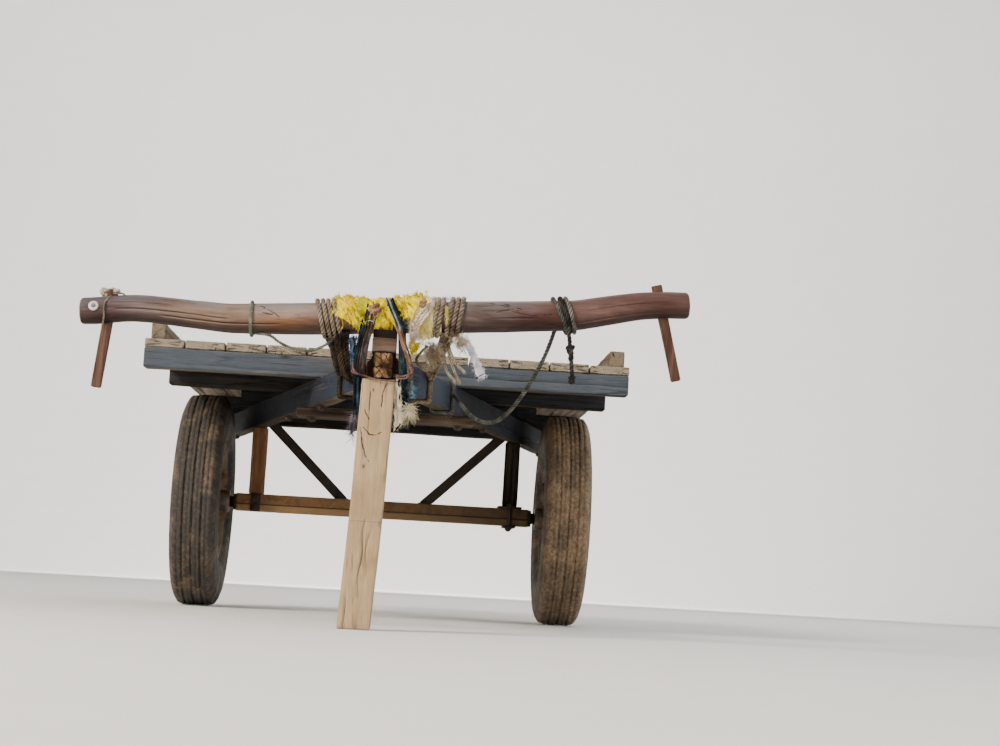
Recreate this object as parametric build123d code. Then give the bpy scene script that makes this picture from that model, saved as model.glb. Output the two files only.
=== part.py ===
"""Bullock cart: a plank deck on a steel axle, two timber beams that meet at a tongue, and a lashed yoke."""
from math import atan, degrees, pi, radians, sin, tan
import os

from build123d import *

# Millimetres. The cart's front looks along -Y, +Z is up, and the floor is at z = 0.
# Left and right are those of someone who stands in front of the cart and looks at it.

# Reach of the whole cart from its axle
front_reach = 2341
rear_reach = 1209
axle_y = (front_reach - rear_reach) / 2

# Wheels
wheel_radius = 430
track = 1470
tyre_width = 190
tread_thickness = 28
shoulder_width = 20
shoulder_drop = 20
flank_rise = 12
bead_width = 15
rim_radius = 241
rim_width = 140
rim_wall = 6
rim_lip = 17
rim_well_depth = 20
rim_well_width = 58
seat_gap = 0.3
disc_wall = 8
disc_dish = 34
hub_barrel_radius = 44
hub_flange_radius = 128
hub_flange_wall = 14
hub_length = 150
hub_outer_reach = 40
stud_count = 5
stud_circle_radius = 101.5
stud_radius = 8
stud_reach = 24
cap_radius = 41
cap_length = 40
cap_wall = 4

# Axle
axle_depth = 70
axle_height = 72
axle_half = 600
seam_depth = 4
seam_width = 4
seam_drop = 43
spindle_radius = 22
spindle_clearance = 0.05
collar_radius = 34
collar_length = 12
nut_flats = 46
nut_length = 18
washer_length = 5
nut_gap = 0.5

# Frame over the axle
post_size = 62
post_inset = 34
clamp_plate = 98
clamp_wall = 8
clamp_foot = 54
clamp_stud_radius = 7
clamp_stud_tail = 14
side_plate_width = 41
side_plate_wall = 8
brace_size = 40
brace_wall = 5
brace_foot_spread = 172
brace_foot_tail = 60
brace_head_rise = 36

# Draught beams
beam_width = 62
beam_depth = 95
beam_bottom = 740
beam_front = 1865
beam_front_spread = 103
beam_axle_spread = 555
beam_tail = 1180
nose_bevel = 26

# Tongue, seat block and cross tie
tongue_tip_width = 60
tongue_tip_depth = 80
tongue_root_width = 122
tongue_tail = 1010
tongue_shoulder_gap = 20
tongue_flat_end = 20
seat_width = 73
seat_length = 170
seat_set_back = 14
seat_under = 64
seat_rise = 6
seat_lip = 26
seat_lip_drop = 25.5
tie_ahead = 1080
tie_width = 110
tie_wall = 30
tie_overhang = 22

# Deck
deck_front = 1275
bearer_size = 75
plank_count = 12
plank_gap = 4
deck_thickness = 32
deck_width = 1700
bolster_half = 610
bearer_ahead = 640
bearer_behind = 600
bearer_end_inset = 20
rail_height = 60
rail_width = 55
rail_end_inset = 60
rail_edge_inset = 12

# Yoke: its length, its thickness and how it lies
yoke_set_back = 90
yoke_half = 915
yoke_tilt = 4.2
yoke_radius = 48.5
yoke_shape = [  # (place and rise as shares of the half length, share of the radius there)
    (-1.0, 0.033, 0.835),
    (-0.93, 0.035, 0.845),
    (-0.85, 0.041, 0.84),
    (-0.79, 0.039, 0.86),
    (-0.52, 0.004, 0.92),
    (-0.27, 0.0, 1.0),
    (0.27, 0.0, 1.0),
    (0.62, 0.002, 0.965),
    (0.75, 0.02, 0.92),
    (0.83, 0.031, 0.88),
    (0.92, 0.034, 0.85),
    (1.0, 0.031, 0.835),
]
pin_margin = 87
pin_lean = 10
pin_width = 33
pin_wall = 15
pin_top = 62
pin_bottom = 245
pin_taper = 5
wrap_gap = 0.4

# Prop leg
leg_width = 100
leg_depth = 72
leg_top_shift = -10
leg_foot_shift = -40
leg_crook = 4
leg_front_gap = 3
leg_top_gap = 0.5
leg_foot_chamfer = 8
hinge_set_back = 20
hinge_drop = 24
hinge_eye_radius = 14
hinge_pin_radius = 7
hinge_clearance = 0.05
hinge_eye_width = 24
hinge_ear_gap = 0.8
hinge_ear_wall = 12
hinge_plate_wall = 8
hinge_plate_length = 118
hinge_plate_width = 62
strap_wall = 6
strap_length = 230

# Ropes and cloth on the yoke: middle and length along it, and how far each stands off the wood
left_coil = (-172, 72, 17)      # (middle, length, build)
right_coil = (189, 92, 17)
rag_wrap = (-17, 220, 13)
left_loop = (-403, 22, 10)
right_winding = (534, 66, 14)
coil_turns = 5
wrap_sides = 12
turn_shape = [(0.0, 0.55), (0.5, 1.0)]  # (share of a turn's width, share of its build)
sling_ropes = 6
sling_top_radius = 26
sling_foot_radius = 19
sling_drop = 26
nose_ring_ahead = 1698
deck_ring_ahead = 1345
ring_build = 12
ring_width = 40
rope_radius = 6
tail_knot_radius = 14
tail_knot_ease = 9
slack_route = [  # (x, distance ahead of the axle, z)
    (512, 2212, 935),
    (494, 2180, 865),
    (456, 2116, 782),
    (412, 2012, 710),
    (370, 1872, 670),
    (324, 1716, 676),
    (284, 1562, 716),
    (256, 1436, 764),
    (235, 1352, 798),
]
tail_route = [  # (x, distance ahead of the axle, z)
    (546, 2290, 937),
    (553, 2304, 885),
    (559, 2308, 833),
    (564, 2306, 786),
]

# Places worked out from the sizes above
beam_slope = (beam_axle_spread - beam_front_spread) / beam_front
beam_top = beam_bottom + beam_depth
post_spread = beam_axle_spread - post_inset
axle_top = wheel_radius + axle_height / 2
axle_bottom = wheel_radius - axle_height / 2
brace_run = beam_axle_spread - beam_width - brace_foot_spread
brace_climb = beam_bottom + brace_head_rise - axle_top
brace_rise = degrees(atan(brace_climb / brace_run))
deck_underside = beam_top + bearer_size
deck_top = deck_underside + deck_thickness
tongue_tip_top = beam_bottom + tongue_tip_depth
tongue_shoulder = beam_front + tongue_shoulder_gap
yoke_ahead = front_reach - yoke_set_back
yoke_y = axle_y - yoke_ahead
yoke_height = tongue_tip_top + seat_under + yoke_radius
pin_spread = yoke_half - pin_margin
yoke_stations = [
    (share * yoke_half, rise * yoke_half, thickness * yoke_radius) for share, rise, thickness in yoke_shape]
yoke_shift = (yoke_stations[0][1] + yoke_stations[-1][1]) / 2 * sin(radians(yoke_tilt))
yoke_place = Pos(yoke_shift, yoke_y, yoke_height) * Rot(0, -yoke_tilt, 0)
sides = {"left": -1, "right": 1}


def ahead(distance):
    """The y of a place that lies so far ahead of the axle; behind it is negative."""
    return axle_y - distance


def outer_spread(distance):
    """Distance of a beam's outer face from the cart's middle, so far ahead of the axle."""
    return beam_axle_spread - beam_slope * distance


def slab(points, z, height):
    """A plate or timber from its outline seen from above."""
    return Pos(0, 0, z) * extrude(make_face(Polyline(*points, close=True)), amount=height)


def front_slab(points, y, depth):
    """A plate or timber from its outline seen from the front, from y back through its depth."""
    outline = Plane.XZ * make_face(Polyline(*points, close=True))
    return Pos(0, y, 0) * extrude(outline, amount=-depth)


def block(x_span, y_span, z_span):
    """A box between two values on each axis."""
    sizes = [high - low for low, high in (x_span, y_span, z_span)]
    middles = [(high + low) / 2 for low, high in (x_span, y_span, z_span)]
    return Pos(*middles) * Box(*sizes)


def rod(radius, start, end):
    """A round bar between two points."""
    line = Vector(*end) - Vector(*start)
    return Plane(origin=start, z_dir=line) * extrude(Circle(radius), amount=line.length)


def on_side(shape, side):
    """A piece made for the right, as it is on the side asked for."""
    return shape if side > 0 else mirror(shape, Plane.YZ)


def turned(profile):
    """A wheel's piece from its (across, radius) outline, with the seam at the floor."""
    ring = revolve(make_face(Polyline(*profile, close=True)), Axis.X)
    return Rot(-90, 0, 0) * ring


def at_wheel(shape, side):
    """A wheel's piece at its place, where +X in the piece points away from the cart."""
    return on_side(Pos(track / 2, axle_y, wheel_radius) * shape, side)


def tyre():
    """A hollow tyre with a plain tread and eased shoulders, open between its beads."""
    half = tyre_width / 2
    bead = rim_width / 2 - rim_wall
    bead_radius = rim_radius + seat_gap
    lip_radius = bead_radius + rim_lip
    right = [
        (bead - bead_width, wheel_radius - tread_thickness), (bead - bead_width, bead_radius), (bead, bead_radius),
        (bead, lip_radius), (half, lip_radius + flank_rise), (half, wheel_radius - shoulder_drop),
        (half - shoulder_width, wheel_radius),
    ]
    return turned(right + [(-across, radius) for across, radius in reversed(right)])


def rim():
    """A rolled steel rim with a well, and the dished disc that is welded into it."""
    lip = rim_width / 2
    seat = lip - rim_wall
    well = rim_well_width / 2
    well_radius = rim_radius - rim_well_depth
    slope = rim_well_depth * 0.7
    outside = [
        (-lip, rim_radius + rim_lip), (-seat, rim_radius + rim_lip), (-seat, rim_radius), (-well - slope, rim_radius),
        (-well, well_radius), (well, well_radius), (well + slope, rim_radius), (seat, rim_radius),
        (seat, rim_radius + rim_lip), (lip, rim_radius + rim_lip),
    ]
    inside = [
        (lip, rim_radius - rim_wall), (well + slope + rim_wall * 0.4, rim_radius - rim_wall),
        (well + rim_wall * 0.4, well_radius - rim_wall), (-well - rim_wall * 0.4, well_radius - rim_wall),
        (-well - slope - rim_wall * 0.4, rim_radius - rim_wall), (-lip, rim_radius - rim_wall),
    ]
    face = hub_face
    weld = well_radius - rim_wall + 1
    disc = [
        (face, hub_barrel_radius + seat_gap), (face + disc_wall, hub_barrel_radius + seat_gap),
        (face + disc_wall, hub_flange_radius), (face + disc_wall - disc_dish, weld - 22),
        (face + disc_wall - disc_dish, weld), (face - disc_dish, weld), (face - disc_dish, weld - 22),
        (face, hub_flange_radius - 6),
    ]
    wheel = turned(outside + inside) + turned(disc)
    for number in range(stud_count):
        turn = Rot(360 / stud_count * number, 0, 0)
        hole = Rot(0, 90, 0) * Cylinder(stud_radius + seat_gap, 4 * disc_wall)
        wheel -= turn * Pos(face + disc_wall / 2, 0, stud_circle_radius) * hole
    return wheel


hub_outer = hub_outer_reach
hub_inner = hub_outer - hub_length
hub_face = hub_outer - 32


def hub():
    """A cast hub: a barrel with its bore, the disc's flange and the wheel studs."""
    bore = spindle_radius + spindle_clearance
    casting = turned([
        (hub_inner, bore), (hub_outer, bore), (hub_outer, hub_barrel_radius - 6), (hub_face, hub_barrel_radius),
        (hub_face, hub_flange_radius - 8), (hub_face - hub_flange_wall, hub_flange_radius - 8),
        (hub_face - hub_flange_wall, hub_barrel_radius + 12), (hub_inner + 24, hub_barrel_radius),
        (hub_inner, hub_barrel_radius - 4),
    ])
    for number in range(stud_count):
        turn = Rot(360 / stud_count * number, 0, 0)
        stud = Rot(0, 90, 0) * Cylinder(stud_radius, stud_reach + hub_flange_wall)
        middle = hub_face + (stud_reach - hub_flange_wall) / 2
        casting += turn * Pos(middle, 0, stud_circle_radius) * stud
    return casting


def hub_cap():
    """A pressed cup that closes the hub over the axle's nut."""
    inner = cap_radius - cap_wall
    tip = hub_outer + cap_length
    seat = hub_outer + seat_gap
    return turned([
        (seat, hub_barrel_radius - 8 - cap_wall), (seat, cap_radius), (tip - 10, cap_radius), (tip, cap_radius - 12),
        (tip, 0), (tip - cap_wall, 0), (tip - cap_wall, cap_radius - 12 - cap_wall),
        (tip - 10 - cap_wall, inner), (seat + cap_wall, inner), (seat + cap_wall, hub_barrel_radius - 8 - cap_wall),
    ])


def axle():
    """The box axle with its welded seam, and a spindle, collar, washer and nut at each end."""
    beam = block((-axle_half, axle_half), (axle_y - axle_depth / 2, axle_y + axle_depth / 2), (axle_bottom, axle_top))
    for face in (-1, 1):
        y = axle_y + face * axle_depth / 2
        z = axle_top - seam_drop
        beam -= block(
            (-axle_half, axle_half), (y - seam_depth, y + seam_depth), (z - seam_width / 2, z + seam_width / 2))
    nut_start = hub_outer + nut_gap + washer_length
    for side in sides.values():
        end = nut_start + nut_length + 5
        collar_end = axle_half + collar_length - track / 2
        ring = turned([
            (axle_half - track / 2, 0), (axle_half - track / 2, collar_radius), (collar_end, collar_radius),
            (collar_end, spindle_radius), (hub_outer + nut_gap, spindle_radius),
            (hub_outer + nut_gap, spindle_radius + 9), (nut_start, spindle_radius + 9),
            (nut_start, spindle_radius - 4), (end, spindle_radius - 4), (end, 0),
        ])
        nut = Rot(0, 90, 0) * extrude(RegularPolygon(nut_flats / 2, 6, major_radius=False), amount=nut_length)
        beam += at_wheel(ring, side)
        beam += at_wheel(Pos(nut_start, 0, 0) * nut, side)
    return beam


def post(side):
    """A square post between the axle and a beam. The right one stands on its clamp's plate."""
    foot = axle_top + (clamp_wall if side > 0 else 0)
    half = post_size / 2
    middle = side * post_spread
    return block((middle - half, middle + half), (axle_y - half, axle_y + half), (foot, beam_bottom))


def right_clamp():
    """Plates over and under the axle, drawn together by two studs."""
    half = clamp_plate / 2
    top = block(
        (post_spread - half, post_spread + half), (axle_y - half - 8, axle_y + half + 8),
        (axle_top, axle_top + clamp_wall))
    foot = block(
        (post_spread - clamp_foot / 2, post_spread + clamp_foot / 2), (axle_y - half - 8, axle_y + half + 8),
        (axle_bottom - clamp_wall, axle_bottom))
    clamp = top + foot
    for face in (-1, 1):
        y = axle_y + face * (axle_depth / 2 + clamp_stud_radius + 1)
        clamp += rod(
            clamp_stud_radius, (post_spread, y, axle_bottom - clamp_wall - clamp_stud_tail),
            (post_spread, y, axle_top + clamp_wall + clamp_stud_tail))
    return clamp


def left_clamp():
    """Plates on the axle's front and rear faces under the left post, each with two bolt heads."""
    half = side_plate_width / 2
    plates = Part()
    for face in (-1, 1):
        near = axle_y + face * axle_depth / 2
        far = near + face * side_plate_wall
        plates += block(
            (-post_spread - half, -post_spread + half), (min(near, far), max(near, far)), (axle_bottom, axle_top))
        for drop in (0.25, 0.75):
            z = axle_top - axle_height * drop
            plates += rod(12, (-post_spread, far, z), (-post_spread, far + face * 9, z))
    return plates


def brace(side):
    """An angle iron from the axle's top up to the inner face of a beam."""
    length = 2 * brace_run
    front = axle_y - brace_size / 2
    half = brace_size / 2
    bar = block((-brace_foot_tail, length), (front, front + brace_wall), (-half, half))
    bar += block((-brace_foot_tail, length), (front, front + brace_size), (half - brace_wall, half))
    bar = Pos(brace_foot_spread, 0, axle_top) * Rot(0, -brace_rise, 0) * bar
    rows = (axle_depth, -axle_depth)
    room = [(0, ahead(rows[0]))]
    room += [(outer_spread(row) - beam_width, ahead(row)) for row in rows]
    room.append((0, ahead(rows[1])))
    return on_side(bar & slab(room, axle_top, beam_top - axle_top), side)


def beam(side):
    """A draught beam: scarfed to the tongue and bevelled at its nose, and splayed to the rear."""
    scarf = tongue_root_width / 2
    inner = outer_spread(beam_front) - beam_width
    scarf_end = beam_front - (scarf - inner) / beam_slope
    outline = [
        (scarf, ahead(beam_front)), (outer_spread(beam_front) - nose_bevel / 2, ahead(beam_front)),
        (outer_spread(beam_front - nose_bevel), ahead(beam_front - nose_bevel)),
        (outer_spread(-beam_tail), ahead(-beam_tail)), (outer_spread(-beam_tail) - beam_width, ahead(-beam_tail)),
        (scarf, ahead(scarf_end)),
    ]
    return on_side(slab(outline, beam_bottom, beam_depth), side)


def tongue():
    """The tongue, narrow and shallow at its tip, and held between the beams' noses."""
    tip = tongue_tip_width / 2
    root = tongue_root_width / 2
    outline = [
        (-tip, ahead(front_reach)), (tip, ahead(front_reach)), (root, ahead(tongue_shoulder)),
        (root, ahead(tongue_tail)), (-root, ahead(tongue_tail)), (-root, ahead(tongue_shoulder)),
    ]
    timber = slab(outline, beam_bottom, beam_depth)
    wedge = Plane.YZ * make_face(Polyline(
        (ahead(front_reach), tongue_tip_top), (ahead(front_reach - seat_length - tongue_flat_end), tongue_tip_top),
        (ahead(tongue_shoulder), beam_top), (ahead(front_reach), beam_top), close=True))
    return timber - extrude(wedge, amount=root * 2, both=True)


def seat_block():
    """The block on the tongue's tip: a low lip in front, and the hollow that the yoke lies in."""
    top = yoke_height - yoke_radius + seat_rise
    front = ahead(front_reach - seat_set_back)
    half = seat_width / 2
    timber = block((-half, half), (front, front + seat_length), (tongue_tip_top, top))
    timber -= block((-half, half), (front, front + seat_lip), (top - seat_lip_drop, top))
    hollow = Rot(0, 90, 0) * Cylinder(yoke_radius + seat_gap, 3 * seat_width)
    return timber - yoke_place * hollow


def cross_tie():
    """The plank under both beams that carries the tongue's tail."""
    half = tie_width / 2
    near = outer_spread(tie_ahead) + tie_overhang
    return block(
        (-near, near), (ahead(tie_ahead + half), ahead(tie_ahead - half)), (beam_bottom - tie_wall, beam_bottom))


def bearer(distance, half_length):
    """A cross timber on the beams, whose middle lies so far ahead of the axle."""
    half = bearer_size / 2
    return block(
        (-half_length, half_length), (ahead(distance + half), ahead(distance - half)), (beam_top, deck_underside))


def deck_planks():
    """The deck's planks, laid lengthwise on the bearers."""
    pitch = (deck_width + plank_gap) / plank_count
    planks = []
    for number in range(plank_count):
        start = -deck_width / 2 + number * pitch
        planks.append(block(
            (start, start + pitch - plank_gap), (ahead(deck_front), ahead(-rear_reach)), (deck_underside, deck_top)))
    return Compound(planks)


def side_rail(side):
    """The low rail that keeps a load from sliding off the deck's edge."""
    outer = deck_width / 2 - rail_edge_inset
    rail = block(
        (outer - rail_width, outer), (ahead(deck_front - rail_end_inset), ahead(rail_end_inset - rear_reach)),
        (deck_top, deck_top + rail_height))
    return on_side(rail, side)


def yoke_stretch(along):
    """The straight stretch of the yoke that holds a place: its two ends as (along, rise, radius)."""
    for low, high in zip(yoke_stations, yoke_stations[1:]):
        if low[0] <= along <= high[0]:
            return low, high
    raise ValueError("that place is not on the yoke")


def yoke_rise(along):
    """How far the yoke's axis stands above its middle."""
    low, high = yoke_stretch(along)
    return low[1] + (high[1] - low[1]) * (along - low[0]) / (high[0] - low[0])


def yoke():
    """A round timber whose thinner arms rise over the animals' necks, with a slot for each pin."""
    sections = []
    for along, rise, radius in yoke_stations:
        plane = Plane(origin=(along, 0, rise), x_dir=(0, 1, 0), z_dir=(1, 0, 0))
        sections.append(plane * Circle(radius))
    timber = loft(sections, ruled=True)
    for side in sides.values():
        timber -= pin_blank(side, seat_gap)
    return yoke_place * timber


def pin_blank(side, grow):
    """A flat yoke pin in the yoke's own axes, grown all round for its slot."""
    half = pin_width / 2 + grow
    taper = pin_taper if grow == 0 else 0
    outline = [
        (-half, pin_top), (half, pin_top), (half - taper, -pin_bottom + 10), (half - taper - 8, -pin_bottom),
        (-half + taper + 8, -pin_bottom), (-half + taper, -pin_bottom + 10),
    ]
    stave = front_slab(outline, -pin_wall / 2 - grow, pin_wall + 2 * grow)
    return Pos(side * pin_spread, 0, yoke_rise(side * pin_spread)) * Rot(0, -side * pin_lean, 0) * stave


def yoke_pin(side):
    """The flat pin that keeps an animal's neck under its end of the yoke."""
    return yoke_place * pin_blank(side, 0)


def wrap(middle, length, build, turns):
    """Turns of rope or cloth round the yoke, as one many-sided sleeve with a bulge for each turn."""
    low, high = yoke_stretch(middle)
    thinning = (high[2] - low[2]) / (high[0] - low[0])
    radius = low[2] + thinning * (middle - low[0])
    half = length / 2
    pitch = length / turns
    places = [(pitch * (number + share), rise) for number in range(turns) for share, rise in turn_shape]
    places.append((length, turn_shape[0][1]))
    sections = []
    for along, rise in places:
        plane = Plane(origin=(along - half, 0, 0), x_dir=(0, 1, 0), z_dir=(1, 0, 0))
        sections.append(plane * RegularPolygon(radius + build * rise, wrap_sides))
    hole = Rot(0, 90, 0) * Cylinder(radius + abs(thinning) * half + wrap_gap, length)
    slope = (high[1] - low[1]) / (high[0] - low[0])
    place = yoke_place * Pos(middle, 0, yoke_rise(middle)) * Rot(0, -degrees(atan(slope)), 0)
    return place * (loft(sections, ruled=True) - hole)


def yoke_rag():
    """The cloth knotted over the yoke, open where the yoke lies in its seat."""
    half = seat_width / 2 + seat_gap
    seat = block((-half, half), (ahead(front_reach), ahead(front_reach - seat_length)),
                 (tongue_tip_top, yoke_height - yoke_radius + seat_rise + seat_gap))
    return wrap(*rag_wrap, 1) - seat


def sling(side):
    """The rope bundle from a coil on the yoke down and back along the outside of a beam's nose."""
    coil = left_coil if side < 0 else right_coil
    top = (coil[0], ahead(yoke_ahead - yoke_radius - sling_top_radius), yoke_height - sling_drop)
    foot_ahead = nose_ring_ahead + ring_width / 2 + seat_gap
    foot = (side * (outer_spread(foot_ahead) + sling_foot_radius / 2), ahead(foot_ahead), beam_top - sling_foot_radius)
    line = Vector(*foot) - Vector(*top)
    bundle = loft([
        Plane(origin=top, z_dir=line) * RegularPolygon(sling_top_radius, sling_ropes),
        Plane(origin=foot, z_dir=line) * RegularPolygon(sling_foot_radius, sling_ropes),
    ], ruled=True)
    bundle &= block((-deck_width, deck_width), (ahead(front_reach), ahead(foot_ahead)), (0, 2 * deck_top))
    return bundle - yoke() - beam(side) - wrap(*coil, coil_turns)


def beam_ring(side, distance):
    """Turns of rope round a beam, with their middle so far ahead of the axle."""
    half = ring_width / 2
    rows = [distance + half, distance - half]
    outline = [(outer_spread(row) + ring_build, ahead(row)) for row in rows]
    outline += [(outer_spread(row) - beam_width - ring_build, ahead(row)) for row in reversed(rows)]
    ring = slab(outline, beam_bottom - ring_build, beam_depth + 2 * ring_build)
    longer = [distance + half + 10, distance - half - 10]
    hole = [(outer_spread(row) + seat_gap, ahead(row)) for row in longer]
    hole += [(outer_spread(row) - beam_width - seat_gap, ahead(row)) for row in reversed(longer)]
    return on_side(ring - slab(hole, beam_bottom - seat_gap, beam_depth + 2 * seat_gap), side)


def rope(route):
    """A plain tube along a route, its corners rounded as wide as its runs allow."""
    points = [Vector(x, ahead(distance), z) for x, distance, z in route]
    radii = []
    for before, corner, after in zip(points, points[1:], points[2:]):
        turn = radians((corner - before).get_angle(after - corner))
        shorter = min((corner - before).length, (after - corner).length)
        radii.append(0.45 * shorter / tan(turn / 2))
    path = FilletPolyline(*points, radius=radii)
    tube = sweep(Plane(origin=path @ 0, z_dir=path % 0) * Circle(rope_radius), path)
    print("rope: length", round(path.length), "radii", [round(radius) for radius in radii],
          "volume share", round(tube.volume / (pi * rope_radius ** 2 * path.length), 4))
    return tube


def tail_knot(tail):
    """The knot at the end of the rope that hangs from the yoke."""
    x, distance, z = tail_route[-1]
    size = 2 * tail_knot_radius
    lump = Box(size, size, size)
    lump = chamfer(lump.edges(), tail_knot_ease)
    return Pos(x, ahead(distance), z - tail_knot_radius + 2) * lump - tail


hinge_y = ahead(front_reach - leg_front_gap - leg_depth - hinge_set_back)
hinge_z = beam_bottom - hinge_drop


def prop_leg():
    """The timber leg that the parked cart's tongue stands on, a little crooked, with an eased foot."""
    half = leg_width / 2
    top = beam_bottom - leg_top_gap
    kink = (leg_top_shift + leg_foot_shift) / 2 + leg_crook
    outline = [
        (leg_top_shift - half, top), (leg_top_shift + half, top), (kink + half, top / 2),
        (leg_foot_shift + half, leg_foot_chamfer), (leg_foot_shift + half - leg_foot_chamfer, 0),
        (leg_foot_shift - half + leg_foot_chamfer, 0), (leg_foot_shift - half, leg_foot_chamfer),
        (kink - half, top / 2),
    ]
    return front_slab(outline, ahead(front_reach - leg_front_gap), leg_depth)


def prop_strap():
    """The iron strap down the leg's rear face, rolled into an eye at its top."""
    back = hinge_y - hinge_set_back
    half = hinge_eye_width / 2
    middle = leg_top_shift
    low = hinge_z - strap_length
    strap = block((middle - half, middle + half), (back, back + strap_wall), (low, hinge_z))
    strap += block((middle - half, middle + half), (back, hinge_y), (hinge_z - hinge_eye_radius, hinge_z))
    eye = rod(hinge_eye_radius, (middle - half, hinge_y, hinge_z), (middle + half, hinge_y, hinge_z))
    bore = hinge_pin_radius + hinge_clearance
    hole = rod(bore, (middle - leg_width, hinge_y, hinge_z), (middle + leg_width, hinge_y, hinge_z))
    return strap + eye - hole


def hinge_ears():
    """The x spans of the hinge's two ears, one each side of the strap's eye."""
    inner = hinge_eye_width / 2 + hinge_ear_gap
    outer = inner + hinge_ear_wall
    return [(leg_top_shift - outer, leg_top_shift - inner), (leg_top_shift + inner, leg_top_shift + outer)]


def prop_hinge():
    """The iron plate under the tongue with two ears for the leg's pin."""
    half = hinge_plate_width / 2
    front = hinge_y - hinge_eye_radius + 3
    plate = block(
        (leg_top_shift - half, leg_top_shift + half), (front, front + hinge_plate_length),
        (beam_bottom - hinge_plate_wall, beam_bottom))
    for low, high in hinge_ears():
        plate += rod(hinge_eye_radius, (low, hinge_y, hinge_z), (high, hinge_y, hinge_z))
        plate += block((low, high), (front, hinge_y + hinge_eye_radius), (hinge_z, beam_bottom - hinge_plate_wall))
    bore = hinge_pin_radius + seat_gap / 2
    return plate - rod(bore, (leg_top_shift - half, hinge_y, hinge_z), (leg_top_shift + half, hinge_y, hinge_z))


def prop_pin():
    """The hinge's pin, with a head at each end."""
    (left, _), (_, right) = hinge_ears()
    pin = rod(hinge_pin_radius, (left - 5, hinge_y, hinge_z), (right + 5, hinge_y, hinge_z))
    for x, way in ((left - seat_gap, -1), (right + seat_gap, 1)):
        pin += rod(hinge_pin_radius + 4, (x, hinge_y, hinge_z), (x + way * 6, hinge_y, hinge_z))
    return pin


def make_nodes():
    """Every piece of the cart under its name."""
    tail = rope(tail_route)
    nodes = {
        "axle": axle(),
        "axle_clamp_left": left_clamp(),
        "axle_clamp_right": right_clamp(),
        "tongue": tongue(),
        "seat_block": seat_block(),
        "cross_tie": cross_tie(),
        "front_beam": bearer(deck_front - bearer_size / 2, deck_width / 2),
        "bearer_ahead": bearer(bearer_ahead, deck_width / 2 - bearer_end_inset),
        "bolster": bearer(0, bolster_half),
        "bearer_behind": bearer(-bearer_behind, deck_width / 2 - bearer_end_inset),
        "rear_beam": bearer(bearer_size / 2 - rear_reach, deck_width / 2),
        "deck_planks": deck_planks(),
        "yoke": yoke(),
        "lashing_left": wrap(*left_coil, coil_turns),
        "lashing_right": wrap(*right_coil, coil_turns),
        "yoke_rag": yoke_rag(),
        "neck_loop_left": wrap(*left_loop, 1),
        "neck_winding_right": wrap(*right_winding, 3),
        "deck_ring": beam_ring(1, deck_ring_ahead),
        "slack_rope": rope(slack_route),
        "rope_tail": tail,
        "tail_knot": tail_knot(tail),
        "prop_leg": prop_leg(),
        "prop_strap": prop_strap(),
        "prop_hinge": prop_hinge(),
        "prop_pin": prop_pin(),
    }
    for name, side in sides.items():
        nodes[f"tyre_{name}"] = at_wheel(tyre(), side)
        nodes[f"rim_{name}"] = at_wheel(rim(), side)
        nodes[f"hub_{name}"] = at_wheel(hub(), side)
        nodes[f"hub_cap_{name}"] = at_wheel(hub_cap(), side)
        nodes[f"post_{name}"] = post(side)
        nodes[f"brace_{name}"] = brace(side)
        nodes[f"draught_beam_{name}"] = beam(side)
        nodes[f"side_rail_{name}"] = side_rail(side)
        nodes[f"yoke_pin_{name}"] = yoke_pin(side)
        nodes[f"sling_{name}"] = sling(side)
        nodes[f"nose_ring_{name}"] = beam_ring(side, nose_ring_ahead)
    return nodes


os.makedirs("parts", exist_ok=True)
for node_name, shape in make_nodes().items():
    export_step(shape, f"parts/{node_name}.step")
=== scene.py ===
import math
import random

import bpy
from mathutils import Matrix, Vector, noise


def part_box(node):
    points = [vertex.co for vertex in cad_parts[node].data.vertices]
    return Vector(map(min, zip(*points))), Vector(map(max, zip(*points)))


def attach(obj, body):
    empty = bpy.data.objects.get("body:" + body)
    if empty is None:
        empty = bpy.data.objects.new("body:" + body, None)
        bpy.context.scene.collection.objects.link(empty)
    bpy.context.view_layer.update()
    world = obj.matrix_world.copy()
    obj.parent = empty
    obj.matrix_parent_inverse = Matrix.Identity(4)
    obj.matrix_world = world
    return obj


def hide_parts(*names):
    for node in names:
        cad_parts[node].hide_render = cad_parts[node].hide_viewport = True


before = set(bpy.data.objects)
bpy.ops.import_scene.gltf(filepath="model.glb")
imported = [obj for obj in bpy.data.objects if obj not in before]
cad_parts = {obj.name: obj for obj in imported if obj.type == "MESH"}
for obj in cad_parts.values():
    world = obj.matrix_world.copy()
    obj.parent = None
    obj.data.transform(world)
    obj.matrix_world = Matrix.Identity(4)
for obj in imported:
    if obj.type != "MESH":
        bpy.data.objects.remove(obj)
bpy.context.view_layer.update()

# Metres, in the cart's own frame: its front looks along -Y, +Z is up and the floor is at z = 0.
# Left and right are those of someone who stands in front of the cart and looks at it.
SIDES = {"left": -1, "right": 1}
AXLE_LOW, AXLE_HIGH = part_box("axle")
AXLE_Y = (AXLE_LOW.y + AXLE_HIGH.y) / 2
AXLE_Z = (AXLE_LOW.z + AXLE_HIGH.z) / 2
AXLE_TOP = AXLE_Z + 0.036
CLAMP_X = 0.521
BEAM_LOW, BEAM_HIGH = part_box("draught_beam_right")
BEAM_SLOPE = 0.452 / 1.865  # how far a beam's outer face comes in for each metre towards the front
BEAM_WIDE = 0.062
BEAM_TOUCH = 0.061  # where the beams lie against the tongue
TYRE_LOW, TYRE_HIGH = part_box("tyre_right")
WHEEL_RADIUS = (TYRE_HIGH.z - TYRE_LOW.z) / 2
WHEEL_X = (TYRE_LOW.x + TYRE_HIGH.x) / 2

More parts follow.
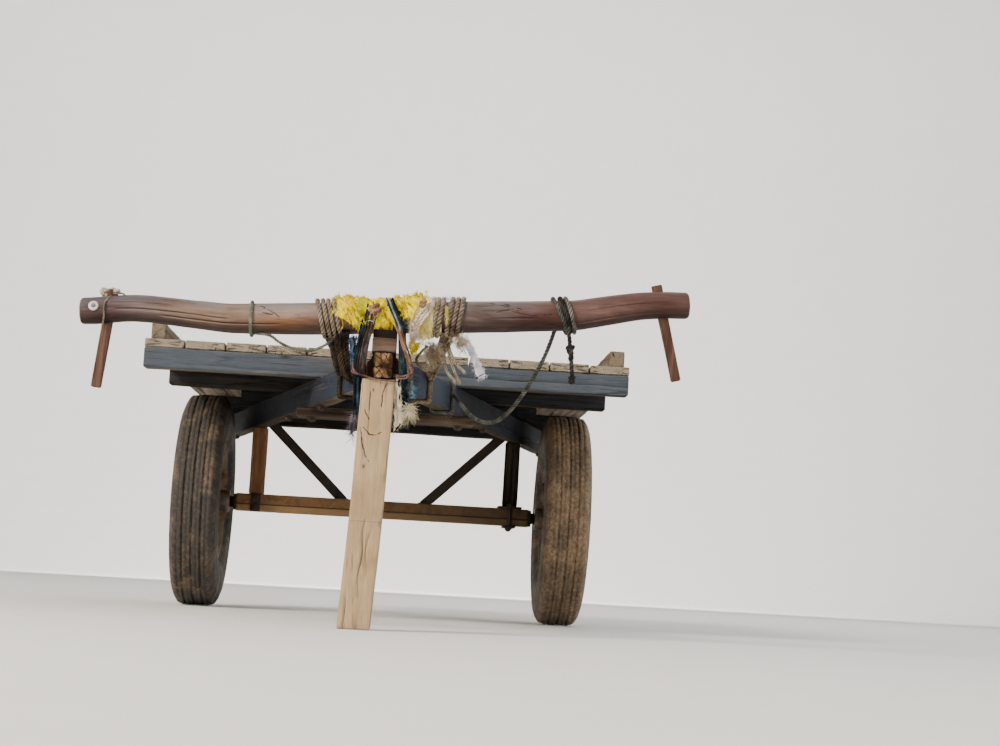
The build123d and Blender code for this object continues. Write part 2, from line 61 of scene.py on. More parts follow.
# The yoke's axis, from the places of its ends and its middle
YOKE_LOW, YOKE_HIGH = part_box("yoke")
YOKE_Y = (YOKE_LOW.y + YOKE_HIGH.y) / 2
YOKE_RADIUS = 0.0485
YOKE_HALF = 0.915
YOKE_TILT = math.radians(4.2)
YOKE_Z = 0.9325
YOKE_SHAPE = [  # (place and rise as shares of the half length, share of the radius there)
    (-1.0, 0.033, 0.835), (-0.93, 0.035, 0.845), (-0.85, 0.041, 0.84), (-0.79, 0.039, 0.86), (-0.52, 0.004, 0.92),
    (-0.27, 0.0, 1.0), (0.27, 0.0, 1.0), (0.62, 0.002, 0.965), (0.75, 0.02, 0.92), (0.83, 0.031, 0.88),
    (0.92, 0.034, 0.85), (1.0, 0.031, 0.835),
]

# The camera, in the cart's frame: where it stands, which way it looks and how long its lens is
CAMERA_PLACE = (0.0887, AXLE_Y - 8.1432, 0.1607)
CAMERA_YAW = math.radians(-2.548)
CAMERA_PITCH = math.radians(6.067)
CAMERA_ROLL = math.radians(3.258)
FRAME_WIDTH = 1000
FOCAL_PIXELS = 1969.3
SENSOR = 36.0


def linked(name, data):
    """A new object in the scene."""
    made = bpy.data.objects.new(name, data)
    bpy.context.scene.collection.objects.link(made)
    return made


def make_camera():
    """The camera at the photograph's place and angle."""
    data = bpy.data.cameras.new("camera")
    data.sensor_width = SENSOR
    data.lens = FOCAL_PIXELS / FRAME_WIDTH * SENSOR
    camera = linked("camera", data)
    cos_pitch = math.cos(CAMERA_PITCH)
    forward = Vector((-math.sin(CAMERA_YAW) * cos_pitch, math.cos(CAMERA_YAW) * cos_pitch, math.sin(CAMERA_PITCH)))
    level = Vector((math.cos(CAMERA_YAW), math.sin(CAMERA_YAW), 0.0))
    above = level.cross(forward)
    right = level * math.cos(CAMERA_ROLL) + above * math.sin(CAMERA_ROLL)
    up = above * math.cos(CAMERA_ROLL) - level * math.sin(CAMERA_ROLL)
    turn = Matrix((right, up, -forward)).transposed().to_4x4()
    camera.matrix_world = Matrix.Translation(CAMERA_PLACE) @ turn
    bpy.context.scene.camera = camera


class Wire:
    """A value in a material's node tree, with arithmetic and mixes that add the nodes they need."""

    def __init__(self, shade, socket):
        self.shade, self.socket = shade, socket

    def maths(self, operation, other=0.5):
        return self.shade.maths(operation, self, other)

    def __add__(self, other):
        return self.maths("ADD", other)

    def __sub__(self, other):
        return self.maths("SUBTRACT", other)

    def __rsub__(self, other):
        return self.shade.maths("SUBTRACT", other, self)

    def __mul__(self, other):
        return self.maths("MULTIPLY", other)

    def __abs__(self):
        return self.maths("ABSOLUTE")

    def top(self, other):
        return self.maths("MAXIMUM", other)

    def between(self, low, high):
        """0 up to low, 1 from high on and a straight line between."""
        made = self.shade.node("ShaderNodeMapRange", {"clamp": True}, Value=self)
        made.inputs["From Min"].default_value = low
        made.inputs["From Max"].default_value = high
        return Wire(self.shade, made.outputs["Result"])

    def ramp(self, *stops):
        """A colour or grey for each value: stops are (place, colour)."""
        made = self.shade.node("ShaderNodeValToRGB", Fac=self)
        elements = made.color_ramp.elements
        while len(elements) < len(stops):
            elements.new(0.5)
        for element, (place, colour) in zip(elements, stops):
            element.position = place
            element.color = (*colour, 1.0) if isinstance(colour, tuple) else (colour, colour, colour, 1.0)
        return Wire(self.shade, made.outputs["Color"])

    def under(self, share, colour):
        """This colour with a share of another over it."""
        return self.shade.mix(share, self, colour)

    def tinted(self, share, colour):
        """This colour multiplied by a share of another."""
        return self.shade.mix(share, self, colour, "MULTIPLY")


class Shader:
    """A material's node tree, with short calls for the nodes that it uses."""

    def __init__(self, name):
        self.material = bpy.data.materials.new(name)
        self.material.use_nodes = True
        self.nodes = self.material.node_tree.nodes
        self.surface = self.nodes["Principled BSDF"]
        self.place = self.output("ShaderNodeTexCoord", "Object")

    def feed(self, socket, value):
        if isinstance(value, Wire):
            self.material.node_tree.links.new(value.socket, socket)
        else:
            socket.default_value = value

    def node(self, kind, settings=None, **inputs):
        made = self.nodes.new(kind)
        for key, value in (settings or {}).items():
            setattr(made, key, value)
        for key, value in inputs.items():
            self.feed(made.inputs[key], value)
        return made

    def output(self, kind, name, settings=None, **inputs):
        return Wire(self, self.node(kind, settings, **inputs).outputs[name])

    def maths(self, operation, first, second):
        made = self.node("ShaderNodeMath", {"operation": operation})
        self.feed(made.inputs[0], first)
        self.feed(made.inputs[1], second)
        return Wire(self, made.outputs[0])

    def mix(self, share, first, second, blend="MIX"):
        made = self.node("ShaderNodeMix", {"data_type": "RGBA", "blend_type": blend})
        for number, value in ((0, share), (6, first), (7, second)):
            self.feed(made.inputs[number], (*value, 1.0) if isinstance(value, tuple) else value)
        return Wire(self, made.outputs[2])

    def split(self, vector):
        """A vector's three numbers, by the names of their axes."""
        made = self.node("ShaderNodeSeparateXYZ", Vector=vector)
        return {axis: Wire(self, made.outputs[axis]) for axis in "XYZ"}

    def looks(self):
        """The way the surface looks, by axis."""
        return self.split(self.output("ShaderNodeTexCoord", "Normal"))

    def attribute(self, name, kind="Fac"):
        return self.output("ShaderNodeAttribute", kind, {"attribute_name": name})

    def stretched(self, scale, turn=(0, 0, 0)):
        """Object coordinates turned, and then scaled along each axis."""
        turned = self.output("ShaderNodeMapping", "Vector", Vector=self.place, Rotation=turn)
        return self.output("ShaderNodeMapping", "Vector", Vector=turned, Scale=scale)

    def noise(self, vector, scale, detail=4.0, roughness=0.55, distortion=0.0):
        return self.output("ShaderNodeTexNoise", "Fac", Vector=vector, Scale=scale, Detail=detail,
                           Roughness=roughness, Distortion=distortion)

    def spots(self, scale, *detail):
        return self.noise(self.place, scale, *detail)

    def cells(self, vector, scale, feature="F1"):
        return self.output("ShaderNodeTexVoronoi", "Distance", {"feature": feature}, Vector=vector, Scale=scale)

    def wave(self, vector, scale, distortion, **settings):
        return self.output("ShaderNodeTexWave", "Fac", settings, Vector=vector, Scale=scale, Distortion=distortion,
                           Detail=3.0)

    def finish(self, colour, roughness, height=None, depth=0.0, strength=1.0, metallic=0.0, specular=0.4):
        """The material, with a bump if it has a height."""
        if height:
            bump = self.output("ShaderNodeBump", "Normal", Height=height, Distance=depth, Strength=strength)
            self.feed(self.surface.inputs["Normal"], bump)
        for name, value in (("Base Color", colour), ("Roughness", roughness), ("Metallic", metallic),
                            ("Specular IOR Level", specular)):
            self.feed(self.surface.inputs[name], value)
        return self.material


def tone(red, green, blue):
    """Screen values from 0 to 255 as linear light."""
    return tuple((value / 255) ** 2.2 for value in (red, green, blue))


def dimmed(colour, share):
    return tuple(share * value for value in colour)


def distance(first, second):
    return (first * first + second * second).maths("SQRT")


def drawn_cracks(shade, where, looks, lines, half):
    """A mask of fine cracks that run along lines of (x, z) over what looks forward."""
    wander = (shade.spots(70.0, 3.0) - 0.5) * 0.007
    x, z = where["X"] + wander, where["Z"] + wander
    gap = None
    for points in lines:
        for (x1, z1), (x2, z2) in zip(points, points[1:]):
            span = (x2 - x1) ** 2 + (z2 - z1) ** 2
            reach = ((x - x1) * ((x2 - x1) / span) + (z - z1) * ((z2 - z1) / span)).between(0.0, 1.0)
            away = distance((x - x1) - reach * (x2 - x1), (z - z1) - reach * (z2 - z1))
            line = away.between(half, half * 0.3)
            gap = line if gap is None else gap.top(line)
    return gap * looks["Y"].between(-0.05, -0.4) * shade.spots(42.0, 4.0).between(0.34, 0.48)


GRAIN = {"X": (1, 23, 23), "Y": (23, 1, 23), "Z": (23, 23, 1)}


def wood(name, axis, tones, rough=0.74, checks=0.6, skew=0.0, dust=0.35, paint=None, rings=60.0, worn=None,
         cut_tones=None, cut_middle=None, scribe=None, knots=(), painted_shade=None, calm=0.0, splits=(), shine=0.12):
    """Old timber: streaks and fibres along its grain, drying cracks, rings on its ends and dust on top.

    tones are its dark, middle and light. paint is (the axis its painted faces look along, colour, how much is left).
    worn is (colour, share): a polish that shows where hands and ropes rub. cut_tones are the dark and light of
    its cut ends, whose border darkens away from cut_middle (x, half width). scribe is the height of a line
    scratched across it and knots are (x, z, radius). painted_shade is (y where it starts, y where it is full, share):
    a painted shade that darkens it along its length, as under the deck and at the tongue's tip.
    calm evens out its streaks. splits are lines of (x, z) along which fine cracks run over its front."""
    dark, middle, light = (tone(*colour) for colour in tones)
    shade = Shader(name)
    grain, broad, checked = (shade.stretched([size * share for share in GRAIN[axis]], (0, 0, skew))
                             for size in (2.6, 0.55, 1.5))
    fine = shade.noise(grain, 7.0, 7.0, 0.68, 0.3)
    streak = shade.noise(broad, 2.4, 5.0, 0.62, 0.9)
    blotch = shade.spots(5.5, 5.0, 0.6)
    open_cracks = shade.cells(checked, 1.0, "DISTANCE_TO_EDGE").between(0.05, 0.0) * shade.spots(9.0, 2.0).between(
        0.62 - checks * 0.25, 0.72)
    looks, where = shade.looks(), shade.split(shade.place)
    colour = streak.ramp((0.32, dark), (0.5, middle), (0.66, light))
    if calm:
        colour = colour.under(calm, middle)
    colour = colour.tinted(0.75 * (1 - 0.6 * calm), fine.ramp((0.3, 0.42), (0.52, 0.98), (0.72, 1.3)))
    colour = colour.under(blotch.between(0.46, 0.68) * 0.5, dark)
    if paint:
        side, hue, left = paint
        patches = shade.noise(broad, 3.4, 7.0, 0.7, 0.4).between(0.62 - left * 0.35, 0.7 - left * 0.3)
        patches = patches - fine.between(0.58, 0.75) * 0.5
        film = shade.mix(blotch.between(0.35, 0.7), hue, dimmed(hue, 0.62))
        film = film.under(fine.between(0.35, 0.75), dimmed(hue, 1.5))
        colour = colour.under(abs(looks[side]).between(0.5, 0.8) * patches, film)
    # painted shade: darker from one place along the timber to another, for the shade under the deck and round the
    # tongue's tip
    if painted_shade:
        start, full, share = painted_shade
        colour = colour.under(where["Y"].between(start, full) * share, tone(30, 26, 23))

    moved = shade.node("ShaderNodeVectorMath", {"operation": "MULTIPLY_ADD"})
    bent = shade.output("ShaderNodeTexNoise", "Color", Vector=shade.place, Scale=14.0)
    for socket, value in zip(moved.inputs, (bent, (0.02, 0.02, 0.02), shade.place)):
        shade.feed(socket, value)
    year = shade.wave(Wire(shade, moved.outputs[0]), rings, 1.5, wave_type="RINGS", rings_direction=axis)
    cut_low, cut_high = cut_tones or (middle, light)
    cut = year.ramp((0.0, dimmed(cut_low, 0.45)), (0.6, cut_low), (1.0, cut_high))
    if cut_tones:
        cut = cut.under(shade.spots(34.0, 5.0).between(0.42, 0.6), cut_high)
    if cut_middle:
        off = abs(where["X"] - cut_middle[0]) + shade.spots(60.0) * 0.008
        slit = shade.wave(shade.stretched((1, 1, 1), (0, math.radians(38), 0)), 16.0, 5.0, wave_type="BANDS")
        cut = cut.under(slit.between(0.93, 0.985) * 0.85, dark)
        cut = cut.under(off.between(cut_middle[1], cut_middle[1] + 0.006) * 0.8, dark)
    cut = cut.under(0.6 - shade.cells(shade.place, 420.0).between(0.1, 0.32) * 0.6, dimmed(dark, 0.3))
    colour = colour.under(abs(looks[axis]).between(0.7, 0.9), cut)
    if scribe:
        off = abs(where["Z"] + (shade.spots(18.0) - 0.5) * 0.004 - scribe)
        colour = colour.under(off.between(0.0018, 0.0006) * 0.7, dark)
    for x, z, radius in knots:
        away = distance(where["X"] - x, (where["Z"] - z) * 0.6) + (fine - 0.5) * (radius * 0.5)
        colour = colour.under(away.between(radius * 2.2, radius * 0.7), dark)
        colour = colour.under(away.between(radius * 0.8, radius * 0.4), dimmed(dark, 0.35))
    if splits:
        gap = drawn_cracks(shade, where, looks, splits, 0.0022)
        colour = colour.under(gap * 0.9, dimmed(dark, 0.14))
        open_cracks = open_cracks.top(gap)
    if worn:
        polish, share = worn
        rubbed = shade.noise(broad, 1.3, 4.0, 0.55)
        colour = colour.under(rubbed.between(0.64 - share * 0.3, 0.74 - share * 0.2), polish)
    if dust:
        lying = looks["Z"].between(0.35, 0.95) * shade.spots(16.0, 7.0, 0.7).between(0.38, 0.66)
        colour = colour.under(lying * dust, tone(168, 150, 122))
    colour = colour.under(open_cracks * 0.88, dimmed(dark, 0.16))
    return shade.finish(colour, fine.ramp((0.3, rough - 0.1), (0.7, min(1.0, rough + 0.14))),
                        fine * 0.5 + streak * 0.35 - open_cracks * 0.9, 0.0022, 0.85, specular=shine)


YOKE_SCRATCHES = [
    [(0.2887, 0.9943), (0.3413, 0.9877), (0.3805, 0.9839)], [(0.3294, 0.9643), (0.368, 0.9764), (0.394, 0.9735)],
    [(0.3747, 0.9702), (0.4338, 0.9609), (0.4923, 0.9679)], [(0.3515, 0.9929), (0.4034, 0.978)],
    [(-0.3766, 0.9405), (-0.3522, 0.93), (-0.3182, 0.9111)], [(-0.3693, 0.9199), (-0.3393, 0.9158)],
]


def yoke_wood():
    """Handled hardwood: a grey bloom on top, mauve-brown flanks, a painted shade on its underside and short scratches
    along it.

    The mesh carries 'sunlit_rub' and 'dusk': where orange is painted, partly rubbed wood and partly painted warm light,
    and where it is darker, which on its lower half is partly painted shade."""
    shade = Shader("wood_yoke")
    fine = shade.noise(shade.stretched((3.4, 46.0, 46.0)), 3.6, 6.0, 0.62, 0.2)
    streak = shade.noise(shade.stretched((1.2, 9.0, 9.0)), 2.0, 5.0, 0.6, 0.5)
    blotch = shade.spots(9.0, 6.0, 0.62, 0.3)
    looks, where = shade.looks(), shade.split(shade.place)
    colour = streak.ramp((0.34, tone(84, 62, 50)), (0.5, tone(116, 94, 80)), (0.66, tone(133, 112, 100)))
    cool = streak.ramp((0.34, tone(76, 64, 60)), (0.5, tone(106, 94, 89)), (0.66, tone(122, 110, 106)))
    colour = colour.under(where["X"].between(-0.02, 0.22) * 0.75, cool)
    colour = colour.under(looks["Z"].between(0.0, 0.9) * blotch.between(0.3, 0.56) * 0.7, tone(118, 116, 120))
    worn = shade.mix(streak.between(0.36, 0.64), tone(54, 45, 48), tone(92, 82, 90))
    ruddy = shade.mix(streak.between(0.36, 0.64), tone(66, 43, 37), tone(97, 71, 65))
    worn = worn.under(where["X"].between(0.3, 0.5), ruddy)
    colour = colour.under(abs(where["X"] + 0.16).between(0.38, 0.66) * 0.88, worn)
    # orange that is partly rubbed wood and partly painted warm light, strongest on what does not look up
    rubbed = (shade.attribute("sunlit_rub") + blotch).between(0.7, 1.35) * looks["Z"].between(0.3, -0.4)
    colour = colour.under(rubbed * 0.5, tone(146, 92, 54))
    # dark red-brown at the dusk places, strongest on what looks sideways and down: partly a painted shade of the lower
    # half
    dusk_shade = (shade.attribute("dusk") + streak).between(0.68, 1.3) * looks["Z"].between(0.7, -0.2)
    colour = colour.under(dusk_shade * 0.85, tone(58, 32, 26))
    # painted shade: what looks down is darkened, for the shade under the yoke
    colour = colour.under(looks["Z"].between(-0.1, -0.8) * 0.85, tone(38, 26, 23))
    colour = colour.tinted(0.4, fine.ramp((0.32, 0.5), (0.5, 1.0), (0.7, 1.2)))
    cells = shade.cells(shade.stretched((7.0, 150.0, 150.0)), 1.0)
    scratch = cells.between(0.16, 0.06) * shade.spots(15.0, 3.0).between(0.5, 0.6)
    colour = colour.under(scratch * 0.75, tone(48, 30, 26))
    carved = drawn_cracks(shade, where, looks, YOKE_SCRATCHES, 0.0024)
    colour = colour.under(carved * 0.85, tone(34, 22, 20))
    return shade.finish(colour, blotch.ramp((0.35, 0.46), (0.65, 0.66)),
                        fine * 0.4 + streak - scratch.top(carved) * 0.5, 0.0012, 0.7, specular=0.2)


def rust(name, tones, seam_z=None, rough=0.78, shaded_part=None):
    """Rusted iron: a scaled skin, darker pits, lighter bloom and road dust on what looks up.

    shaded_part is (x where it starts to darken, x where it is darkest, colour): a painted shade over part of it."""
    base, flake, dusty = (tone(*colour) for colour in tones)
    shade = Shader(name)
    large = shade.spots(7.0, 8.0, 0.66, 0.5)
    small = shade.spots(60.0, 7.0, 0.7)
    pits = shade.cells(shade.place, 190.0).between(0.26, 0.05)
    runs = shade.noise(shade.stretched((26.0, 26.0, 5.0)), 1.6, 6.0, 0.65, 0.4)
    colour = large.ramp((0.32, base), (0.48, flake), (0.62, base), (0.74, dusty))
    colour = colour.under(runs.between(0.48, 0.7), flake)
    colour = colour.tinted(0.8, small.ramp((0.3, 0.5), (0.5, 0.95), (0.72, 1.45)))
    colour = colour.under(shade.looks()["Z"].between(0.3, 0.9) * large.between(0.35, 0.6) * 0.55, dusty)
    if seam_z is not None:
        z = shade.split(shade.place)["Z"]
        colour = colour.under(z.between(seam_z + 0.003, seam_z - 0.003) * 0.6, dusty)
        colour = colour.under(abs(z - seam_z).between(0.0032, 0.0012) * 0.8, tone(30, 20, 14))
    colour = colour.under(pits * 0.6, tone(34, 22, 16))
    # painted shade: darker towards +x
    if shaded_part:
        start, full, shade_tone = shaded_part
        colour = colour.under((shade.split(shade.place)["X"] + large * 0.2).between(start, full) * 0.62, shade_tone)
    return shade.finish(colour, small.ramp((0.3, rough - 0.2), (0.7, rough + 0.14)), small * 0.6 + large - pits * 0.8,
                        0.0014, 0.8, 0.25)


def rubber():
    """Tyre rubber, greyed and cracked, with dried mud in its grooves and over its shoulders."""
    shade = Shader("tyre_mud")
    small = shade.spots(75.0, 7.0, 0.7)
    crazed = shade.cells(shade.place, 130.0, "DISTANCE_TO_EDGE").between(0.05, 0.0)
    bare = shade.mix(small.between(0.35, 0.7), tone(44, 40, 38), tone(72, 66, 60))
    mud = small.ramp((0.3, tone(86, 68, 50)), (0.5, tone(124, 103, 79)), (0.72, tone(160, 139, 110)))
    share = (shade.spots(24.0, 9.0, 0.72, 0.6) + shade.attribute("mud")).between(0.5, 1.0)
    colour = bare.under(share, mud).under(crazed * 0.5, tone(36, 30, 26))
    dull = shade.mix(shade.spots(8.0, 8.0, 0.65, 0.4), tone(185, 185, 185), tone(250, 250, 250))
    return shade.finish(colour, dull, share * 0.7 + small * 0.35 - crazed * 0.25, 0.0025, 0.9)


def paint(name, colour, worn):
    """Old paint on steel: faded, chipped to rust and dusty."""
    shade = Shader(name)
    large = shade.spots(9.0, 8.0, 0.66, 0.4)
    small = shade.spots(80.0, 7.0, 0.7)
    chipped = large.between(0.5, 0.56)
    film = shade.mix(small.between(0.3, 0.75), dimmed(colour, 0.7), colour)
    film = film.under(chipped, shade.mix(small, worn, dimmed(worn, 0.4)))
    film = film.under(shade.spots(20.0, 6.0).between(0.42, 0.66) * 0.7, tone(142, 122, 96))
    return shade.finish(film, large.ramp((0.45, 0.5), (0.58, 0.86)), small * 0.4 - chipped * 0.6, 0.001, 0.8)


def rope_stuff(name, low, middle, high, yarns=9.0, fuzz=1.0, rough=0.88):
    """Twisted fibre: yarns run round each strand, with painted shade between the strands and lighter where they stand
    out.

    The mesh carries 'lay': (distance along the strand in radii, cosine and sine of the angle round it, both times
    how far out of the rope's middle the point is)."""
    shade = Shader(name)
    lay = shade.split(shade.attribute("lay", "Vector"))
    angle = lay["Z"].maths("ARCTAN2", lay["Y"])
    ridge = (lay["X"] * (0.62 * yarns) + angle * yarns).maths("SINE", 0.0).between(-1.0, 1.0)
    fibre = shade.spots(330.0, 6.0, 0.7, 0.8)
    colour = shade.spots(26.0, 5.0, 0.6).ramp((0.32, tone(*low)), (0.5, tone(*middle)), (0.68, tone(*high)))
    # painted shade: the rope darkens towards its middle, between its strands
    colour = colour.tinted(1.0, distance(lay["Y"], lay["Z"]).ramp((0.5, 0.1), (0.78, 0.5), (0.95, 1.0)))
    colour = colour.tinted(0.45, ridge.ramp((0.0, 0.55), (0.6, 1.0), (1.0, 1.2)))
    colour = colour.tinted(0.45, fibre.ramp((0.3, 0.6), (0.7, 1.3)))
    return shade.finish(colour, rough, ridge * 0.6 + fibre * (0.3 * fuzz), 0.0009, 0.8, specular=0.12)


def cloth_stuff(name, low, middle, high, dirt=0.3, pale=None, fold_shade=0.0):
    """Woven cloth with its threads, thin places and dirt. pale is (x, half width, colour) of a faded part."""
    low = tone(*low)
    shade = Shader(name)
    warp = shade.noise(shade.stretched((620.0, 60.0, 60.0)), 1.0, 3.0, 0.6)
    weft = shade.noise(shade.stretched((60.0, 620.0, 620.0)), 1.0, 3.0, 0.6)
    weave = (warp + weft) * 0.5
    patch = shade.spots(22.0, 7.0, 0.65, 0.7)
    colour = patch.ramp((0.3, low), (0.48, tone(*middle)), (0.68, tone(*high)))
    if pale:
        x, half, faded = pale
        off = abs(shade.split(shade.place)["X"] - x) + patch * half
        colour = colour.under(off.between(1.7 * half, 0.9 * half) * 0.75, faded)
    # painted shade along the cloth's folds
    if fold_shade:
        lines = shade.noise(shade.stretched((84.0, 26.0, 26.0), (0.0, 0.5, 0.0)), 1.0, 3.0, 0.5, 1.2)
        colour = colour.under(lines.between(0.5, 0.36) * fold_shade, dimmed(low, 0.4))
    colour = colour.tinted(0.7, weave.ramp((0.36, 0.55), (0.5, 1.0), (0.64, 1.25)))
    colour = colour.under(shade.spots(48.0, 7.0, 0.7).between(0.5, 0.7) * dirt, tone(92, 72, 40))
    return shade.finish(colour, 0.95, weave + patch * 0.5, 0.0012, 0.9, specular=0.02)


# Mesh making. Every mesh keeps the cart's own frame, so its object stays at the origin.
NO_LAY = (0.0, 1.0, 0.0)  # what the rope's 'lay' says where a mesh has no strands


def piece(name, points, faces, material, body="cart", lay=None, smooth=True, extra=None, node=None):
    """A mesh object that rides on a body, has one material and may stand for a CAD node."""
    mesh = bpy.data.meshes.new(name)
    mesh.from_pydata(points, [], faces)
    mesh.update()
    mesh.validate()
    if smooth:
        mesh.polygons.foreach_set("use_smooth", [True] * len(mesh.polygons))
    if lay:
        values = [number for row in lay for number in row]
        mesh.attributes.new("lay", "FLOAT_VECTOR", "POINT").data.foreach_set("vector", values)
    for key, values in (extra or {}).items():
        mesh.attributes.new(key, "FLOAT", "POINT").data.foreach_set("value", values)
    mesh.materials.append(material)
    made = linked(name, mesh)
    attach(made, body)
    if node:
        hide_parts(node)
    return made


class Build:
    """Points and faces that are gathered from several shapes into one piece."""

    def __init__(self):
        self.points, self.faces, self.lay = [], [], []

    def add(self, points, faces, lay=None):
        start = len(self.points)
        self.points += [tuple(point) for point in points]
        self.faces += [tuple(start + number for number in face) for face in faces]
        self.lay += lay or [NO_LAY] * len(points)

    def piece(self, name, material, slot, body="cart", node=None):
        return piece(name, self.points, self.faces, material, body, self.lay, node=node)


def tube_faces(rings, around, closed=False, caps=True):
    """Faces between rings of points, and a cap at each end."""
    faces = []
    for row in range(rings if closed else rings - 1):
        here = row * around
        there = (row + 1) % rings * around
        for number in range(around):
            after = (number + 1) % around
            faces.append((here + number, here + after, there + after, there + number))
    if caps and not closed:
        faces.append(tuple(reversed(range(around))))
        faces.append(tuple((rings - 1) * around + number for number in range(around)))
    return faces


def close_end(points, faces, start, around, middle, inward, first_end, shares, dent, tip):
    """Close the end of a tube, whose last ring starts at a point's number, with ever smaller rings.

    dent says how far a point of a ring lies inward, and tip is that of the end's middle. The number of points
    that were added is returned."""
    before = len(points)
    ring = range(start, start + around)
    for share in shares:
        fresh = range(len(points), len(points) + around)
        for number in range(around):
            moved = middle + (points[start + number] - middle) * share
            points.append(moved + inward * dent(moved, share))
        for number in range(around):
            after = (number + 1) % around
            face = (ring[number], fresh[number], fresh[after], ring[after])
            faces.append(face if first_end else face[::-1])
        ring = fresh
    points.append(middle + inward * tip)
    for number in range(around):
        face = (ring[number], len(points) - 1, ring[(number + 1) % around])
        faces.append(face if first_end else face[::-1])
    return len(points) - before


def rumple(point, scale, seed=0.0):
    """Smooth noise from about -1 to 1 at a point."""
    return noise.noise(Vector(point) * scale + Vector((seed, seed * 1.7, -seed * 0.6)))


def timber(rows, right, up, corner=0.006, step=0.01, across=0.012, cracks=(), warp=0.0015, grain=0.0007, chips=0.5,
           seed=0.0, end_rough=0.0012):
    """Points and faces of a timber with eased, chipped edges, grain along it and open drying cracks.

    rows are (middle, half width, half depth) along it. Each crack is (side, place across from -1 to 1,
    where it starts and ends as shares of the length, half width, depth, how far it wanders)."""
    right, up = Vector(right).normalized(), Vector(up).normalized()
    middles = [Vector(row[0]) for row in rows]
    marks = [0.0]
    for before, after in zip(middles, middles[1:]):
        marks.append(marks[-1] + (after - before).length)
    length = marks[-1]
    along = (middles[-1] - middles[0]).normalized()
    count = max(3, int(length / step))
    places = sorted({0.0, corner * 0.3, corner, length - corner, length - corner * 0.3, length}
                    | {corner + (length - 2 * corner) * number / count for number in range(1, count)}
                    | set(marks[1:-1]))
    half_width = max(row[1] for row in rows)
    half_depth = max(row[2] for row in rows)
    entries = []
    for side in range(4):
        span = half_width if side % 2 == 0 else half_depth
        own = [crack for crack in cracks if crack[0] == side]
        number_of = max(2, int(2 * span / across))
        flats = [-1 + 2 * number / number_of for number in range(number_of + 1)]
        margin = 0.012 / span
        flats = [flat for flat in flats if abs(flat) == 1 or all(abs(flat - crack[1]) > margin for crack in own)]
        row = [(flat, None, 0) for flat in flats]
        for crack in own:
            row += [(crack[1] - 0.0001, crack, -1), (crack[1], crack, 0), (crack[1] + 0.0001, crack, 1)]
        entries += [(side, flat, crack, part) for flat, crack, part in sorted(row, key=lambda item: item[0])]
        entries += [(side, turn, "corner", 0) for turn in (22.5, 45.0, 67.5)]

    def section(place):
        """Middle and half sizes at a distance along the timber."""
        for number in range(len(marks) - 1):
            if place <= marks[number + 1] + 1e-9:
                share = (place - marks[number]) / (marks[number + 1] - marks[number])
                first, second = rows[number], rows[number + 1]
                return (middles[number].lerp(middles[number + 1], share), first[1] + (second[1] - first[1]) * share,
                        first[2] + (second[2] - first[2]) * share)
        return middles[-1], rows[-1][1], rows[-1][2]

    points = []
    lay = []
    for place in places:
        middle, wide, deep = section(place)
        end = min(place, length - place)
        inset = corner * (1 - math.sqrt(max(0.0, 1 - (1 - min(1.0, end / corner)) ** 2)))
        wear = corner * (1.0 + 0.55 * rumple((place * 9, seed, 0), 1.0, seed))
        for side, where, crack, part in entries:
            a, b = (wide, deep) if side % 2 == 0 else (deep, wide)
            if crack == "corner":
                turn = math.radians(where)
                chip = wear + max(0.0, rumple((place * 22, side * 3.1, 0), 1.0, seed + 5) - 0.25) * 0.02 * chips
                u = a - chip + chip * math.sin(turn)
                v = b - chip + chip * math.cos(turn)
                normal = (math.sin(turn), math.cos(turn))
            else:
                u = where * (a - wear)
                v = b
                normal = (0.0, 1.0)
                if crack is not None:
                    _, _, first, last, gap, depth, wander = crack
                    share = place / length
                    inside = 0.0
                    if first < share < last:
                        inside = min(1.0, (share - first) * 9, (last - share) * 9)
                    u += wander * rumple((place * 11, crack[1] * 7, side), 1.0, seed + 2)
                    u += part * (0.0006 + gap * inside)
                    if part == 0:
                        v -= depth * inside
            spin = side * math.pi / 2
            x = u * math.cos(spin) + v * math.sin(spin)
            y = -u * math.sin(spin) + v * math.cos(spin)
            nx = normal[0] * math.cos(spin) + normal[1] * math.sin(spin)
            ny = -normal[0] * math.sin(spin) + normal[1] * math.cos(spin)
            slow = abs(rumple((x * 5, y * 5, place * 2.2), 1.0, seed)) * warp * 2
            fast = abs(rumple((x * 130, y * 130, place * 6), 1.0, seed + 9)) * grain * 2
            drop = slow + fast + inset
            x -= nx * drop
            y -= ny * drop
            points.append(middle + right * x + up * y)
            lay.append((place, x, y))
    around = len(entries)
    faces = tube_faces(len(places), around, caps=False)

    def dent(point, share):
        rough = abs(rumple(point, 70.0, seed + 3)) * end_rough + abs(rumple(point, 20.0, seed)) * end_rough
        return rough + (1 - share) * 0.0004

    for row, way in ((0, 1), (len(places) - 1, -1)):
        fresh = close_end(points, faces, row * around, around, section(places[row])[0], along * way, way > 0,
                          (0.86, 0.66, 0.42, 0.18), dent, end_rough)
        lay += [(places[row], 0.0, 0.0)] * fresh
    return points, faces, lay


def solid_timber(name, node, rows, right, up, material, slot, body="cart", **detail):
    """A timber that stands for a CAD node."""
    points, faces, lay = timber(rows, right, up, **detail)
    piece(name, points, faces, material, body, lay, node=node)


def outline_bar(outline, start, end, right, up, step=0.02, rough=0.0005, seed=0.0):
    """A bar of any cross-section between two points, a little uneven."""
    start, end = Vector(start), Vector(end)
    right, up = Vector(right).normalized(), Vector(up).normalized()
    count = max(2, int((end - start).length / step))
    points = []
    for number in range(count + 1):
        middle = start.lerp(end, number / count)
        for x, y in outline:
            point = middle + right * x + up * y
            points.append(point - (right * x + up * y).normalized() * abs(rumple(point, 40.0, seed)) * rough)
    return points, tube_faces(count + 1, len(outline))


